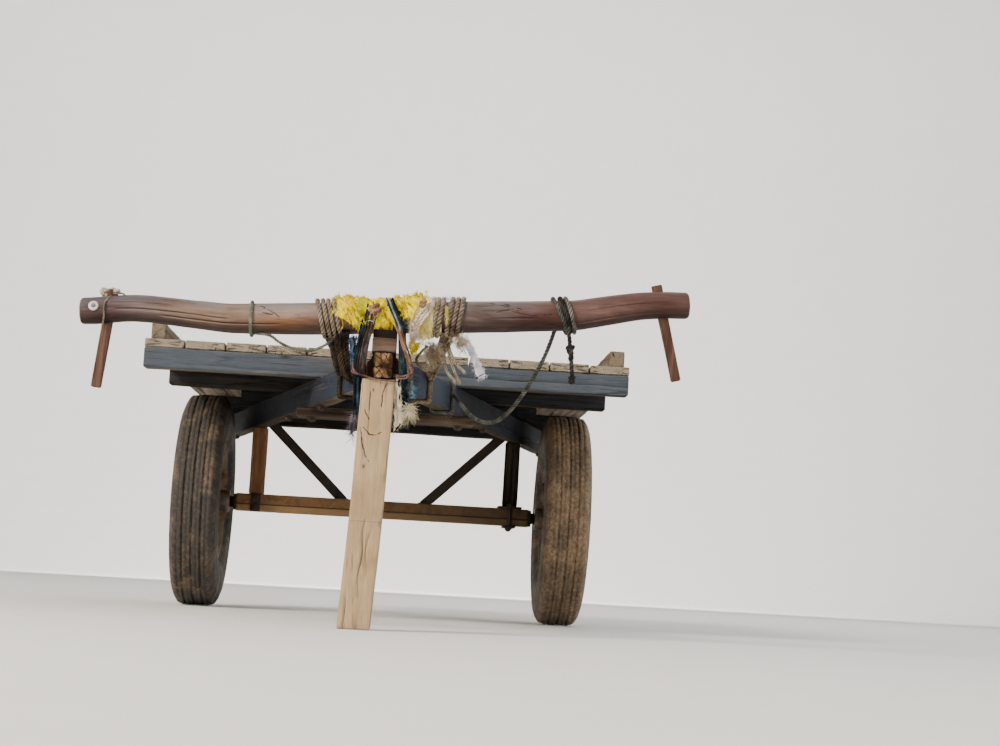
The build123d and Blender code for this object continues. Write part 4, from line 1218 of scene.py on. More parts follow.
def make_seat():
    """The block on the tongue's tip: a low lip in front, and the hollow that the yoke lies in behind it."""
    low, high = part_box("seat_block")
    build = Build()
    lip = 0.026
    build.add(*timber([((-0.0365, low.y + lip / 2, low.z + 0.022), lip / 2, 0.022),
                       ((0.0365, low.y + lip / 2, low.z + 0.022), lip / 2, 0.022)], (0, 1, 0), (0, 0, 1),
                      corner=0.0035, step=0.004, across=0.004, warp=0.001, grain=0.0005, seed=61.0))
    build.piece("seat_lip", LIP_SHADED_WOOD, "timber_dark", node="seat_block")
    outline = []
    hollow = YOKE_RADIUS + 0.0008
    start, end = low.y + lip - 0.004, high.y
    for number in range(40):
        y = start + (end - start) * number / 39
        away = abs(y - YOKE_Y)
        top = high.z if away >= hollow else min(high.z, YOKE_Z - math.sqrt(hollow ** 2 - away ** 2))
        outline.append((y, top))
    rows = []
    half = 0.0355
    for x in (-half, -half + 0.003, -0.018, 0.0, 0.018, half - 0.003, half):
        ease = 0.003 if abs(x) == half else 0.0
        ring = [(y, z - ease) for y, z in outline] + [(end - ease, low.z + 0.0004), (start, low.z + 0.0004)]
        rows += [Vector((x, y, z)) - Vector((0, 0, abs(rumple((x, y, z), 50.0, 3.0)) * 0.0008)) for y, z in ring]
    piece("seat_saddle", rows, tube_faces(7, 42), SHADED_SADDLE, lay=[NO_LAY] * len(rows),
          smooth=False)


def washer(radius, thick=0.003):
    """The profile of a washer with an eased edge."""
    return [(0.0, radius), (thick - 0.0008, radius), (thick, radius - 0.001), (thick, 0.008)]


def at_wheel(side, across):
    """A point on a wheel's axis, so far from its middle, away from the cart."""
    return Vector((side * (WHEEL_X + across), AXLE_Y, AXLE_Z))


def make_wheels():
    """Ribbed and muddy tyres on dished steel wheels, with their nuts, valve and cast hubs."""
    for name, side in SIDES.items():
        body = f"wheel_{name}"
        axis = Vector((side, 0, 0))
        radius = WHEEL_RADIUS - 0.0022
        half, shoulder = 0.0945, 0.075
        segments = 192
        # Each point of the tyre is (across, radius, kind): 1 zigzags round the wheel, 2 and 3 are notched by the
        # shoulder's lugs, 3 deeper, and 0 is plain.
        tread = []
        for middle in (-0.036, 0.0, 0.036):
            tread += [(middle - 0.0058, radius, 1), (middle - 0.0044, radius - 0.0012, 1),
                      (middle - 0.0024, radius - 0.0088, 1), (middle + 0.0024, radius - 0.0088, 1),
                      (middle + 0.0044, radius - 0.0012, 1), (middle + 0.0058, radius, 1)]
            if middle < 0.03:
                tread += [(middle + 0.0125, radius, 0), (middle + 0.0145, radius - 0.0016, 0),
                          (middle + 0.0165, radius - 0.0016, 0), (middle + 0.0185, radius, 0)]
        outer = [(-0.052, radius - 0.0006, 0), (-0.0545, radius - 0.004, 0), (-0.0575, radius - 0.004, 0),
                 (-0.0605, radius - 0.0022, 0), (-shoulder + 0.004, radius - 0.0068, 2), (-shoulder, radius - 0.012, 3)]
        wall = [(-0.083, radius - 0.026, 3), (-0.0885, radius - 0.042, 2), (-0.0902, radius - 0.047, 0),
                (-0.0896, radius - 0.05, 0), (-half + 0.0012, radius - 0.074, 0), (-half, radius - 0.096, 0),
                (-0.0935, radius - 0.118, 0), (-0.0915, radius - 0.121, 0), (-0.0918, radius - 0.126, 0),
                (-0.087, radius - 0.146, 0), (-0.079, radius - 0.162, 0), (-0.0745, radius - 0.166, 0),
                (-0.0735, radius - 0.172, 0), (-0.0662, radius - 0.1865, 0)]
        left = list(reversed(wall)) + list(reversed(outer))
        right = [(-across, reach, kind) for across, reach, kind in outer + wall]
        inside = [(0.05, 0.246, 0), (0.0, 0.3, 0), (-0.05, 0.246, 0)]
        profile = left + tread + right + inside
        points, mud = [], []
        for across, reach, kind in profile:
            for number, angle in enumerate(circle(segments)):
                place, out = across, reach
                if kind == 1:
                    place += 0.0016 if number % 2 else -0.0016
                if kind in (2, 3) and number % 6 in (0, 1):
                    out -= 0.0045 if kind == 3 else 0.003
                spot = spoke(angle)
                crust = max(0.0, rumple((place * 30, spot.y * 9, spot.z * 9), 1.0, side * 3.0)) * 0.0042
                caked = max(0.0, rumple((place * 14, spot.y * 5, spot.z * 5), 1.0, 7.0 + side))
                if kind == 1 and reach < radius - 0.005:
                    crust += caked * 0.006
                out = min(out + crust, max(radius + 0.0019, out)) if reach > 0.26 else out
                points.append(at_wheel(side, place) + spot * out)
                mud.append(caked * (0.6 if side > 0 else 0.45) + (0.12 if kind == 1 else 0.0)
                           + (0.1 if abs(place) > 0.06 else 0.0)
                           + (-0.1 if side < 0 else 0.24 if reach > radius - 0.03 else 0.02))
        piece(f"tread_{name}", points, tube_faces(len(profile), segments, closed=True), TYRE_RUBBER, body,
              extra={"mud": mud}, node=f"tyre_{name}")

        build = Build()
        lip = 0.07
        steel = [(-lip, 0.258), (-lip + 0.002, 0.2595), (-lip + 0.005, 0.258), (-lip + 0.0062, 0.242), (-0.046, 0.2408),
                 (-0.031, 0.2225), (0.031, 0.2225), (0.046, 0.2408), (lip - 0.0062, 0.242), (lip - 0.005, 0.258),
                 (lip - 0.002, 0.2595), (lip, 0.258), (lip - 0.0005, 0.24), (0.0475, 0.2348), (0.033, 0.2155),
                 (-0.033, 0.2155), (-0.0475, 0.2348), (-lip + 0.0005, 0.24)]
        build.add(*lathe(steel, at_wheel(side, 0), axis, 144, 0.0006, 3.0))
        face = 0.008
        disc = [(face, 0.046), (face + 0.008, 0.046), (face + 0.0082, 0.122), (face + 0.0045, 0.132),
                (face - 0.019, 0.18), (face - 0.0245, 0.19), (face - 0.0255, 0.2), (face - 0.0235, 0.2145),
                (face - 0.0315, 0.2145), (face - 0.0335, 0.2), (face - 0.0325, 0.188), (face - 0.026, 0.178),
                (face - 0.0035, 0.13), (face, 0.12)]
        build.add(*lathe(disc, at_wheel(side, 0), axis, 144, 0.0004, 5.0))
        bead = [at_wheel(side, face - 0.0225) + spoke(2 * math.pi * number / 150) * 0.2125 for number in range(151)]
        strand(build, bead, 0.0035, 8, uneven=0.35, seed=2.0)
        build.piece(f"wheel_disc_{name}", RIM_PAINT, "wheel_paint", body, node=f"rim_{name}")

        build = Build()
        casting = [(-0.108, 0.0225), (0.0395, 0.0225), (0.0398, 0.034), (0.037, 0.0385), (0.012, 0.044),
                   (0.0085, 0.047), (0.0078, 0.118), (0.0055, 0.1198), (-0.0042, 0.1198), (-0.006, 0.117),
                   (-0.007, 0.062), (-0.012, 0.055), (-0.03, 0.0475), (-0.082, 0.044), (-0.088, 0.0455),
                   (-0.104, 0.0452), (-0.108, 0.041)]
        build.add(*lathe(casting, at_wheel(side, 0), axis, 96, 0.0006, 9.0))
        build.piece(f"hub_casting_{name}", HUB_PAINT, "wheel_paint", body, node=f"hub_{name}")

        build = Build()
        for number, angle in enumerate(circle(5, math.pi / 2)):
            stud = at_wheel(side, 0.016) + spoke(angle) * 0.1015
            build.add(*lathe(washer(0.0175), stud, axis, 28, closed=False))
            build.add(*hexagon(stud + axis * 0.0028, axis, 0.0285, 0.0125, number))
            build.add(*lathe([(0.0, 0.0078), (0.0185, 0.0078), (0.0198, 0.0066), (0.02, 0.0001)], stud, axis, 20,
                             closed=False))
        build.piece(f"wheel_nuts_{name}", BOLT_IRON, "iron_rusty", body)

        valve = at_wheel(side, 0.018) + Vector((0, 0.0, 1.0)) * 0.222
        build = Build()
        build.add(*lathe([(-0.03, 0.004), (0.018, 0.004), (0.019, 0.0052), (0.028, 0.0052), (0.0295, 0.004),
                          (0.0298, 0.0001)], valve, (side * 0.94, 0, -0.34), 16, closed=False))
        build.piece(f"tyre_valve_{name}", BOLT_IRON, "iron_rusty", body)

        build = Build()
        tip = 0.0798
        cup = [(0.0404, 0.03), (0.0404, 0.0405), (0.043, 0.0412), (0.046, 0.0405), (0.067, 0.0398), (0.0745, 0.036),
               (tip - 0.0015, 0.027), (tip, 0.018), (tip, 0.0001)]
        build.add(*lathe(cup, at_wheel(side, 0), axis, 72, closed=False))
        build.piece(f"grease_cap_{name}", HUB_PAINT, "wheel_paint", body, node=f"hub_cap_{name}")


def make_axle():
    """The axle's two welded halves with the seam between them, its ends, clamps and plates."""
    build = Build()
    half = 0.0352
    outline = eased([(-half + 0.0003, -0.0358), (half - 0.0003, -0.0358), (half - 0.0003, -0.0096),
                     (half - 0.0035, -0.0082), (half - 0.0035, -0.0058), (half - 0.0003, -0.0044),
                     (half - 0.0003, 0.0358), (-half + 0.0003, 0.0358), (-half + 0.0003, -0.0044),
                     (-half + 0.0035, -0.0058), (-half + 0.0035, -0.0082), (-half + 0.0003, -0.0096)], 0.0045)
    build.add(*outline_bar(outline, (-0.6, AXLE_Y, AXLE_Z), (0.6, AXLE_Y, AXLE_Z), (0, 1, 0), (0, 0, 1), 0.012,
                           0.0007, 2.0))
    rng = random.Random(31)
    for start in (-0.59, -0.42, -0.2, 0.03, 0.24, 0.44):
        run = rng.uniform(0.05, 0.11)
        line = [Vector((start + run * number / 16, AXLE_Y - half + 0.0024, AXLE_Z - 0.007)) for number in range(17)]
        strand(build, line, 0.0026, 6, uneven=0.5, seed=start)
    build.piece("axle_beam", AXLE_IRON, "iron_rusty", node="axle")
    build = Build()
    for side in SIDES.values():
        axis = Vector((side, 0, 0))
        place = at_wheel(side, 0)
        build.add(*lathe([(-0.136, 0.0005), (-0.136, 0.032), (-0.133, 0.034), (-0.1255, 0.034), (-0.1235, 0.032),
                          (-0.1232, 0.0221), (0.0405, 0.0219), (0.0408, 0.0305), (0.0452, 0.0305), (0.0455, 0.018),
                          (0.067, 0.018), (0.0685, 0.016), (0.0685, 0.0001)], place, axis, 60, closed=False))
        build.add(*hexagon(at_wheel(side, 0.0456), axis, 0.046, 0.018))
    build.piece("axle_spindles", DARK_IRON, "iron_rusty")

    build = Build()
    for face in (-1, 1):
        near = AXLE_Y + face * 0.035
        far = near + face * 0.008
        outline = eased([(-0.0203, min(near, far) - AXLE_Y), (0.0203, min(near, far) - AXLE_Y),
                         (0.0203, max(near, far) - AXLE_Y), (-0.0203, max(near, far) - AXLE_Y)], 0.002)
        build.add(*outline_bar(outline, (-CLAMP_X, AXLE_Y, AXLE_Z - 0.0358), (-CLAMP_X, AXLE_Y, AXLE_Z + 0.0358),
                               (1, 0, 0), (0, 1, 0), 0.008, 0.0006, 4.0))
        for drop in (0.25, 0.75):
            spot = Vector((-CLAMP_X, far - face * 0.0005, AXLE_TOP - 0.072 * drop))
            build.add(*lathe(washer(0.0165, 0.0028), spot, (0, face, 0), 32, closed=False))
            build.add(*hexagon(spot + Vector((0, face * 0.0024, 0)), (0, face, 0), 0.0225, 0.0072, drop))
    build.piece("clamp_left", BOLT_IRON, "iron_rusty", node="axle_clamp_left")

    build = Build()
    for level, half_x, thick in ((AXLE_TOP, 0.0488, 0.008), (AXLE_Z - 0.044, 0.0268, 0.008)):
        outline = eased([(-half_x, 0), (half_x, 0), (half_x, thick), (-half_x, thick)], 0.0022)
        build.add(*outline_bar(outline, (CLAMP_X, AXLE_Y - 0.0568, level), (CLAMP_X, AXLE_Y + 0.0568, level), (1, 0, 0),
                               (0, 0, 1), 0.01, 0.0006, 6.0))
    for face in (-1, 1):
        y = AXLE_Y + face * 0.043
        build.add(*lathe([(0.0, 0.0001), (0.0, 0.0062), (0.002, 0.007), (0.112, 0.007), (0.114, 0.0062),
                          (0.114, 0.0001)], (CLAMP_X, y, AXLE_Z - 0.0577), (0, 0, 1), 20, closed=False))
        build.add(*hexagon((CLAMP_X, y, AXLE_Z + 0.0438), (0, 0, 1), 0.0215, 0.0082, 0.4))
        build.add(*hexagon((CLAMP_X, y, AXLE_Z - 0.0442), (0, 0, -1), 0.0215, 0.0082, 0.1))
    build.piece("clamp_right", BOLT_IRON, "iron_rusty", node="axle_clamp_right")


def make_braces():
    """The two angle irons and their welded feet."""
    wall, size = 0.005, 0.04
    outline = eased([(0, -size / 2), (wall, -size / 2), (wall, size / 2 - wall), (size, size / 2 - wall),
                     (size, size / 2), (0, size / 2)], 0.0016)
    for name, side in SIDES.items():
        low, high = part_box(f"brace_{name}")
        rise = math.radians(44)
        way = Vector((side * math.cos(rise), 0, math.sin(rise)))
        normal = Vector((-side * math.sin(rise), 0, math.cos(rise)))
        foot = Vector((side * 0.172, AXLE_Y - size / 2, AXLE_TOP))
        reach = (max(abs(low.x), abs(high.x)) - 0.172) / math.cos(rise)
        build = Build()
        start, end = foot - way * 0.01, foot + way * (reach - 0.012)
        points, faces = outline_bar(outline, start, end, (0, 1, 0), normal, 0.012, 0.0006, 8.0)
        points = [Vector((p.x, p.y, max(p.z, AXLE_TOP))) for p in points]
        build.add(points, faces)
        bead = [foot + Vector((side * (-0.028 + 0.056 * number / 14), -0.0004, 0.0008)) for number in range(15)]
        strand(build, bead, 0.003, 6, uneven=0.5, seed=3.0)
        build.piece(f"angle_iron_{name}", DARK_IRON, "iron_rusty", node=f"brace_{name}")


def make_bolts():
    """Bolts through the joints of the timbers, with their washers."""
    build = Build()

    def bolt(place, axis, flats=0.026, wide=0.021):
        axis = Vector(axis)
        place = Vector(place) - axis * 0.0015
        build.add(*lathe(washer(wide), place, axis, 32, closed=False))
        build.add(*hexagon(place + axis * 0.0028, axis, flats, 0.0095, place.x * 9 + place.y * 5))
        build.add(*lathe([(0.0, 0.0066), (0.0145, 0.0066), (0.0155, 0.0055), (0.0156, 0.0001)], place, axis, 18,
                         closed=False))

    tie_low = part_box("cross_tie")[0].z
    tie_y = middle_of("cross_tie")
    rail_low, rail_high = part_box("side_rail_right")
    for side in SIDES.values():
        for ahead in (-0.022, 0.024):
            bolt((side * (beam_outer(tie_y) - BEAM_WIDE / 2), tie_y + ahead, tie_low), (0, 0, -1))
        for node in ("front_beam", "bearer_ahead", "bearer_behind", "rear_beam", "bolster"):
            y = middle_of(node)
            bolt((side * (beam_outer(y) - BEAM_WIDE / 2), y, BEAM_LOW.z), (0, 0, -1), 0.022, 0.018)
            if node != "bolster" and rail_low.y < y < rail_high.y:
                bolt((side * (rail_low.x + rail_high.x) / 2, y, rail_high.z), (0, 0, 1), 0.02, 0.017)
    for x in (-0.03, 0.03):
        bolt((x, tie_y, tie_low), (0, 0, -1), 0.022, 0.018)
    build.piece("timber_bolts", BOLT_IRON, "iron_rusty")


def make_prop_iron():
    """The CAD's own hinge, strap and pin, with their edges eased and screws in them."""
    for node in ("prop_strap", "prop_hinge", "prop_pin"):
        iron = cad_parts[node]
        iron.data.materials.clear()
        iron.data.materials.append(DARK_IRON)
        ease = iron.modifiers.new("ease", "BEVEL")
        ease.width = 0.0012
        ease.segments = 2
        ease.limit_method = "ANGLE"
        ease.angle_limit = math.radians(40)
    build = Build()
    for above in (0.025, 0.09, 0.155):
        spot = (middle_of("prop_strap", 0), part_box("prop_leg")[1].y + 0.0058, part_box("prop_strap")[0].z + above)
        build.add(*lathe([(0.0, 0.0072), (0.002, 0.0072), (0.0042, 0.0045), (0.0048, 0.0001)], spot, (0, 1, 0), 20,
                         closed=False))
    build.piece("strap_screws", BOLT_IRON, "iron_rusty", "prop")


def coil(build, along, turns, radius, spread, slant, start=-70.0, seed=0.0, parting=0.0):
    """A rope wound round the yoke. slant is how far the tops of its turns stand to the right of their bottoms,
    parting how far the first two turns stand off the others."""
    line = []
    steps = int(28 * turns)
    for number in range(steps + 1):
        share = number / steps
        angle = start + 360 * turns * share
        turn = math.radians(angle)
        place = along + spread * (share - 0.5) + slant * math.cos(turn)
        place -= parting * max(0.0, min(1.0, (0.44 - share) / 0.08))
        place += 0.0012 * rumple((share * turns * 2.2, seed, 0), 1.0, seed)
        off = radius * (0.93 if 0.03 < share < 0.97 else 0.55)
        line.append(on_yoke(place, angle, off + 0.0009 * rumple((share * turns * 3, 3, seed), 1.0, seed)))
    twist(build, line, radius, seed=seed)
    return line


def knot_line(middle, across, up, size, start=0.0):
    """The line of an overhand knot, pulled tight: a trefoil that faces away from across and up."""
    across, up = Vector(across).normalized(), Vector(up).normalized()
    out = across.cross(up)
    line = []
    for number in range(61):
        turn = start + 2 * math.pi * number / 61
        x = (math.sin(turn) + 2 * math.sin(2 * turn)) / 3
        y = (math.cos(turn) - 2 * math.cos(2 * turn)) / 3
        z = -math.sin(3 * turn) * 0.42
        line.append(Vector(middle) + (across * x + up * y + out * z) * size)
    return line


def beam_edges(side, y):
    """The x of a beam's inner and outer face at a place along it."""
    outer = beam_outer(y)
    return side * max(BEAM_TOUCH, outer - BEAM_WIDE), side * outer


def beam_turns(build, side, start, turns, rope, gap, seed=0.0):
    """Rope turned round a beam, rounded at its corners."""
    line = []
    low, high = BEAM_LOW.z - rope * 0.9, BEAM_HIGH.z + rope * 0.9
    for number in range(turns * 4 + 1):
        corner = number % 4
        y = start + gap * number / 4
        inner, outer = beam_edges(side, y)
        inner -= side * rope * 0.9
        outer += side * rope * 0.9
        x, z = [(outer, high), (outer, low), (inner, low), (inner, high)][corner]
        ease = 0.011
        ahead = [(0, -1), (-side, 0), (0, 1), (side, 0)][corner]
        back = [(side, 0), (0, -1), (-side, 0), (0, 1)][corner]
        for step in range(5):
            share = step / 4
            a = (1 - share) ** 2 * ease
            b = share ** 2 * ease
            line.append(Vector((x - back[0] * a + ahead[0] * b, y, z - back[1] * a + ahead[1] * b)))
    twist(build, line, rope, seed=seed)


def make_windings():
    """The rope coils on the yoke, the bundles that run back from them and the turns that hold those."""
    rng = random.Random(47)
    for name, side, material, spread, slant, turns, along, rope, parting in (
            ("left", -1, LEFT_HEMP, 0.0645, -0.0065, 4.0, -0.173, 0.0073, 0.0),
            ("right", 1, HEMP, 0.079, 0.016, 5.0, 0.189, 0.0075, 0.0115)):
        build = Build()
        line = coil(build, along, turns, rope, spread, slant, seed=2.0 + side, parting=parting)
        axis = on_yoke(along, 0, -YOKE_RADIUS)
        fuzz = [(point + (point - axis).normalized() * 0.006, point - axis) for point in line[::4]]
        hairs(build, fuzz, rng, 0.011, 0.0003, 0.2, 0.9)
        build.piece(f"yoke_coil_{name}", material, "rope", node=f"lashing_{name}")

        build = Build()
        top = Vector((along, YOKE_Y + YOKE_RADIUS + 0.022, YOKE_Z - 0.03))
        foot = Vector((side * (beam_outer(-1.152) + 0.0095), -1.152, BEAM_HIGH.z - 0.019))
        _, first, second = across_axis(foot - top)
        for number, turn in enumerate(circle(6, 0.4)):
            out, later = heading(first, second, turn), heading(first, second, turn + 1.4)
            begin = on_yoke(along + (number - 2.5) * 0.0095 - slant, 150 + 12 * (number % 3), 0.008)
            route = [begin, begin.lerp(top + out * 0.016, 0.5) + Vector((0, 0, -0.012)), top + out * 0.0165,
                     top.lerp(foot, 0.3) + out * 0.0135, top.lerp(foot, 0.65) + later * 0.0115, foot + later * 0.0095]
            twist(build, smooth_route(route, 60), 0.0072, seed=number * 1.3, loose=0.1)
        middle = [top.lerp(foot, share / 40) for share in range(1, 40)]
        fuzz = [(spot + drawn(rng).normalized() * 0.018, drawn(rng, (-1, 1), (-1, 0.4), (-1, 0.6)))
                for spot in middle for _ in range(4)]
        hairs(build, fuzz, rng, 0.026 if side > 0 else 0.014, 0.0004, 0.4, 0.9)
        if side < 0:
            for shift, back in ((0.0, 0.0), (0.012, 0.006), (-0.011, 0.01), (0.006, 0.014), (0.021, 0.012)):
                fall = [on_yoke(-0.138 + shift, 140, 0.008), (-0.136 + shift, -1.69 + back, 0.85),
                        (-0.128 + shift * 0.9, -1.672 + back, 0.815), (-0.118 + shift * 0.5, -1.664 + back, 0.775),
                        (-0.107 + shift * 0.4, -1.658 + back, 0.742), (-0.07, -1.64 + back, 0.727)]
                twist(build, smooth_route(fall, 80), 0.0066, seed=shift * 90, loose=0.12)
        if side > 0:
            for back in (0.0, 0.009):
                loop = [(0.128, -1.625 + back, 0.862), (0.104, -1.66 + back, 0.834), (0.094, -1.664 + back, 0.812),
                        (0.112, -1.666 + back, 0.799 - back), (0.136, -1.664 + back, 0.79 - back),
                        (0.156, -1.662 + back, 0.81), (0.165, -1.655 + back, 0.834), (0.166, -1.63 + back, 0.86)]
                twist(build, smooth_route(loop, 90), 0.0042, seed=back * 90, loose=0.1)
        build.piece(f"sling_ropes_{name}", SLING_ROPE[name], "rope", node=f"sling_{name}")

        build = Build()
        beam_turns(build, side, -1.1505, 3, 0.0061, 0.0128, seed=side)
        build.piece(f"nose_turns_{name}", SLING_ROPE[name], "rope", node=f"nose_ring_{name}")

    build = Build()
    beam_turns(build, 1, -0.797, 3, 0.0061, 0.0128, seed=5.0)
    build.piece("deck_turns", GREY_ROPE, "rope", node="deck_ring")

    build = Build()
    coil(build, -0.405, 1.22, 0.0054, 0.012, 0.0045, start=236, seed=9.0)
    build.piece("neck_turn_left", GREEN_ROPE, "rope", node="neck_loop_left")

    for name, material, along, rope, slant, start, seed in (
            ("neck_turn_green", NECK_GREEN, 0.5205, 0.0064, -0.0185, 232, 4.0),
            ("neck_turn_dark", DARK_ROPE, 0.536, 0.0068, -0.0125, 240, 6.0),
            ("neck_turn_pale", NECK_PALE, 0.5515, 0.0068, -0.0115, 228, 7.0)):
        build = Build()
        coil(build, along, 1.22, rope, 0.009, slant, start=start, seed=seed)
        build.piece(name, material, "rope", node="neck_winding_right" if name == "neck_turn_dark" else None)

    build = Build()
    tie = [on_yoke(-0.808, -60, 0.004), on_yoke(-0.818, 8, 0.005), on_yoke(-0.8365, 62, 0.0045),
           on_yoke(-0.8405, 88, 0.005), on_yoke(-0.8395, 128, 0.008), on_yoke(-0.849, 158, 0.012)]
    twist(build, smooth_route(tie, 60), 0.0028, seed=8.0, gap=0.0014, sides=6)
    tie = [on_yoke(-0.835, -70, 0.004), on_yoke(-0.826, 0, 0.009), on_yoke(-0.8, 22, 0.006), on_yoke(-0.787, 6, 0.006),
           on_yoke(-0.784, -30, 0.005)]
    twist(build, smooth_route(tie, 60), 0.0028, seed=3.0, gap=0.0014, sides=6)
    build.piece("pin_tie", BEIGE_ROPE, "rope")
    build = Build()
    spot = on_yoke(-0.823, -4, 0.009)
    for shift, size in ((-0.019, 0.0125), (0.008, 0.0135)):
        tight_knot(build, 0.0056, 0.35, shift * 100, spot + Vector((shift, 0, 0.001)), (1, 0, 0.1), (0, -0.5, 1), size,
                   shift * 90)
    build.piece("pin_tie_knot", KNOT_CLOTH, "cloth")


SLACK = [(0.512, -1.646, 0.935), (0.494, -1.614, 0.865), (0.456, -1.55, 0.782), (0.412, -1.446, 0.71),
         (0.37, -1.306, 0.67), (0.324, -1.15, 0.676), (0.284, -0.996, 0.716), (0.256, -0.87, 0.764),
         (0.235, -0.786, 0.798)]
TAIL = [(0.546, -1.724, 0.937), (0.553, -1.738, 0.885), (0.559, -1.742, 0.833), (0.564, -1.74, 0.786)]


def length_of(points):
    """The length of a line of points."""
    return sum((Vector(after) - Vector(before)).length for before, after in zip(points, points[1:]))


def rope(name, material, line, radius, node=None, **lay):
    """A laid rope along a line, as a piece of its own."""
    build = Build()
    twist(build, line, radius, **lay)
    return build.piece(name, material, "rope", node=node)


def frayed(name, line, rng, count, length, material):
    """The unlaid fibres at a rope's end."""
    roots = [(line[-1] + drawn(rng, *[(-0.003, 0.003)] * 3), line[-1] - line[-6]) for _ in range(count)]
    build = Build()
    hairs(build, roots, rng, length, 0.00045, 0.5, 0.45)
    return build.piece(name, material, "rope")


def make_cords():
    """The slack rope from the yoke back to the deck, and the rope end that hangs from the yoke."""
    line = smooth_route(SLACK, 120)
    slack = rope("slack_line", GREY_ROPE, line, 0.007, "slack_rope", seed=1.0)

    line = smooth_route(TAIL, 60)
    tail = rope("tail_line", DARK_ROPE, line, 0.007, "rope_tail", seed=2.0)
    knots = Build()
    x, y, z = TAIL[-1]
    for middle, size, turn in (((0.5545, -1.739, 0.866), 0.0125, 0.3), ((0.558, -1.741, 0.845), 0.0115, 1.5),
                               ((x, y, z - 0.011), 0.0105, 0.9)):
        loop = knot_line(middle, (math.cos(turn), math.sin(turn) * 0.6, 0.2), (0, -0.2, 1), size, turn)
        twist(knots, loop + loop[:1], 0.0046, seed=turn)
    knots = knots.piece("tail_knots", DARK_ROPE, "rope", node="tail_knot")

    route = [(-0.405, -1.688, 0.862), (-0.38, -1.7, 0.86), (-0.34, -1.703, 0.857), (-0.32, -1.704, 0.839),
             (-0.288, -1.704, 0.825), (-0.252, -1.703, 0.816), (-0.217, -1.702, 0.8175), (-0.191, -1.7, 0.829),
             (-0.166, -1.695, 0.846), (-0.152, -1.68, 0.868)]
    line = smooth_route(route, 120)
    green = rope("green_line", GREEN_ROPE, line, 0.0048, seed=6.0)

    rng = random.Random(71)
    ends = [
        [(0.172, -1.64, 0.872), (0.177, -1.672, 0.852), (0.181, -1.68, 0.828), (0.1855, -1.682, 0.79),
         (0.199, -1.682, 0.77), (0.2115, -1.682, 0.76)],
        [(0.182, -1.645, 0.876), (0.187, -1.676, 0.858), (0.192, -1.684, 0.84), (0.2015, -1.684, 0.81),
         (0.213, -1.684, 0.785), (0.2265, -1.684, 0.759)],
        [(0.19, -1.65, 0.88), (0.193, -1.68, 0.862), (0.199, -1.688, 0.8385), (0.2125, -1.688, 0.818),
         (0.224, -1.688, 0.797), (0.2375, -1.686, 0.789)],
    ]
    for number, route in enumerate(ends):
        line = smooth_route(route, 60)
        end = rope(f"loose_end_{number + 1}", BEIGE_ROPE, line, 0.0048, seed=3.0 + number, loose=0.1)
        fray = frayed(f"loose_fray_{number + 1}", line, rng, 60, 0.018, BEIGE_ROPE)


def band(build, line, wide, thick, folds=3.0, seed=0.0, sides=30):
    """A flat strap along a line that faces away from the yoke's axis: so wide and thick, with folds along it."""
    line = spaced(line, 0.003)
    rows, lay = [], []
    place = 0.0
    for number, point in enumerate(line):
        way = (line[min(len(line) - 1, number + 1)] - line[max(0, number - 1)]).normalized()
        out = Vector((0, point.y - YOKE_Y, max(0.0, point.z - YOKE_Z)))
        out = (out - way * out.dot(way)).normalized()
        across = way.cross(out)
        if number:
            place += (point - line[number - 1]).length
        width = wide * (1 + 0.16 * rumple((place * 25, seed, 0), 1.0, seed))
        for side in range(sides):
            angle = 2 * math.pi * side / sides
            x = math.cos(angle) * width
            ripple = 0.0011 * math.sin(folds * math.pi * x / width + 2.5 * rumple((place * 12, 0, seed), 1.0, seed))
            ripple += 0.0007 * rumple((place * 70, x * 260, seed), 1.0, seed)
            rows.append(point + across * x + out * (math.sin(angle) * thick + ripple))
            lay.append((place / wide, math.cos(angle), math.sin(angle)))
    build.add(rows, tube_faces(len(line), sides), lay)


TIE_END_COLOURS = {"left": (TEAL, TEAL, BLUE, DARK_ROPE), "right": (TEAL, GREEN_ROPE, TEAL, GREY_ROPE)}


def tie(name, material, route, radius, seed):
    """One of the coloured cords."""
    rope(name, material, smooth_route(route, 90), radius, seed=seed, gap=0.0021, sides=5)


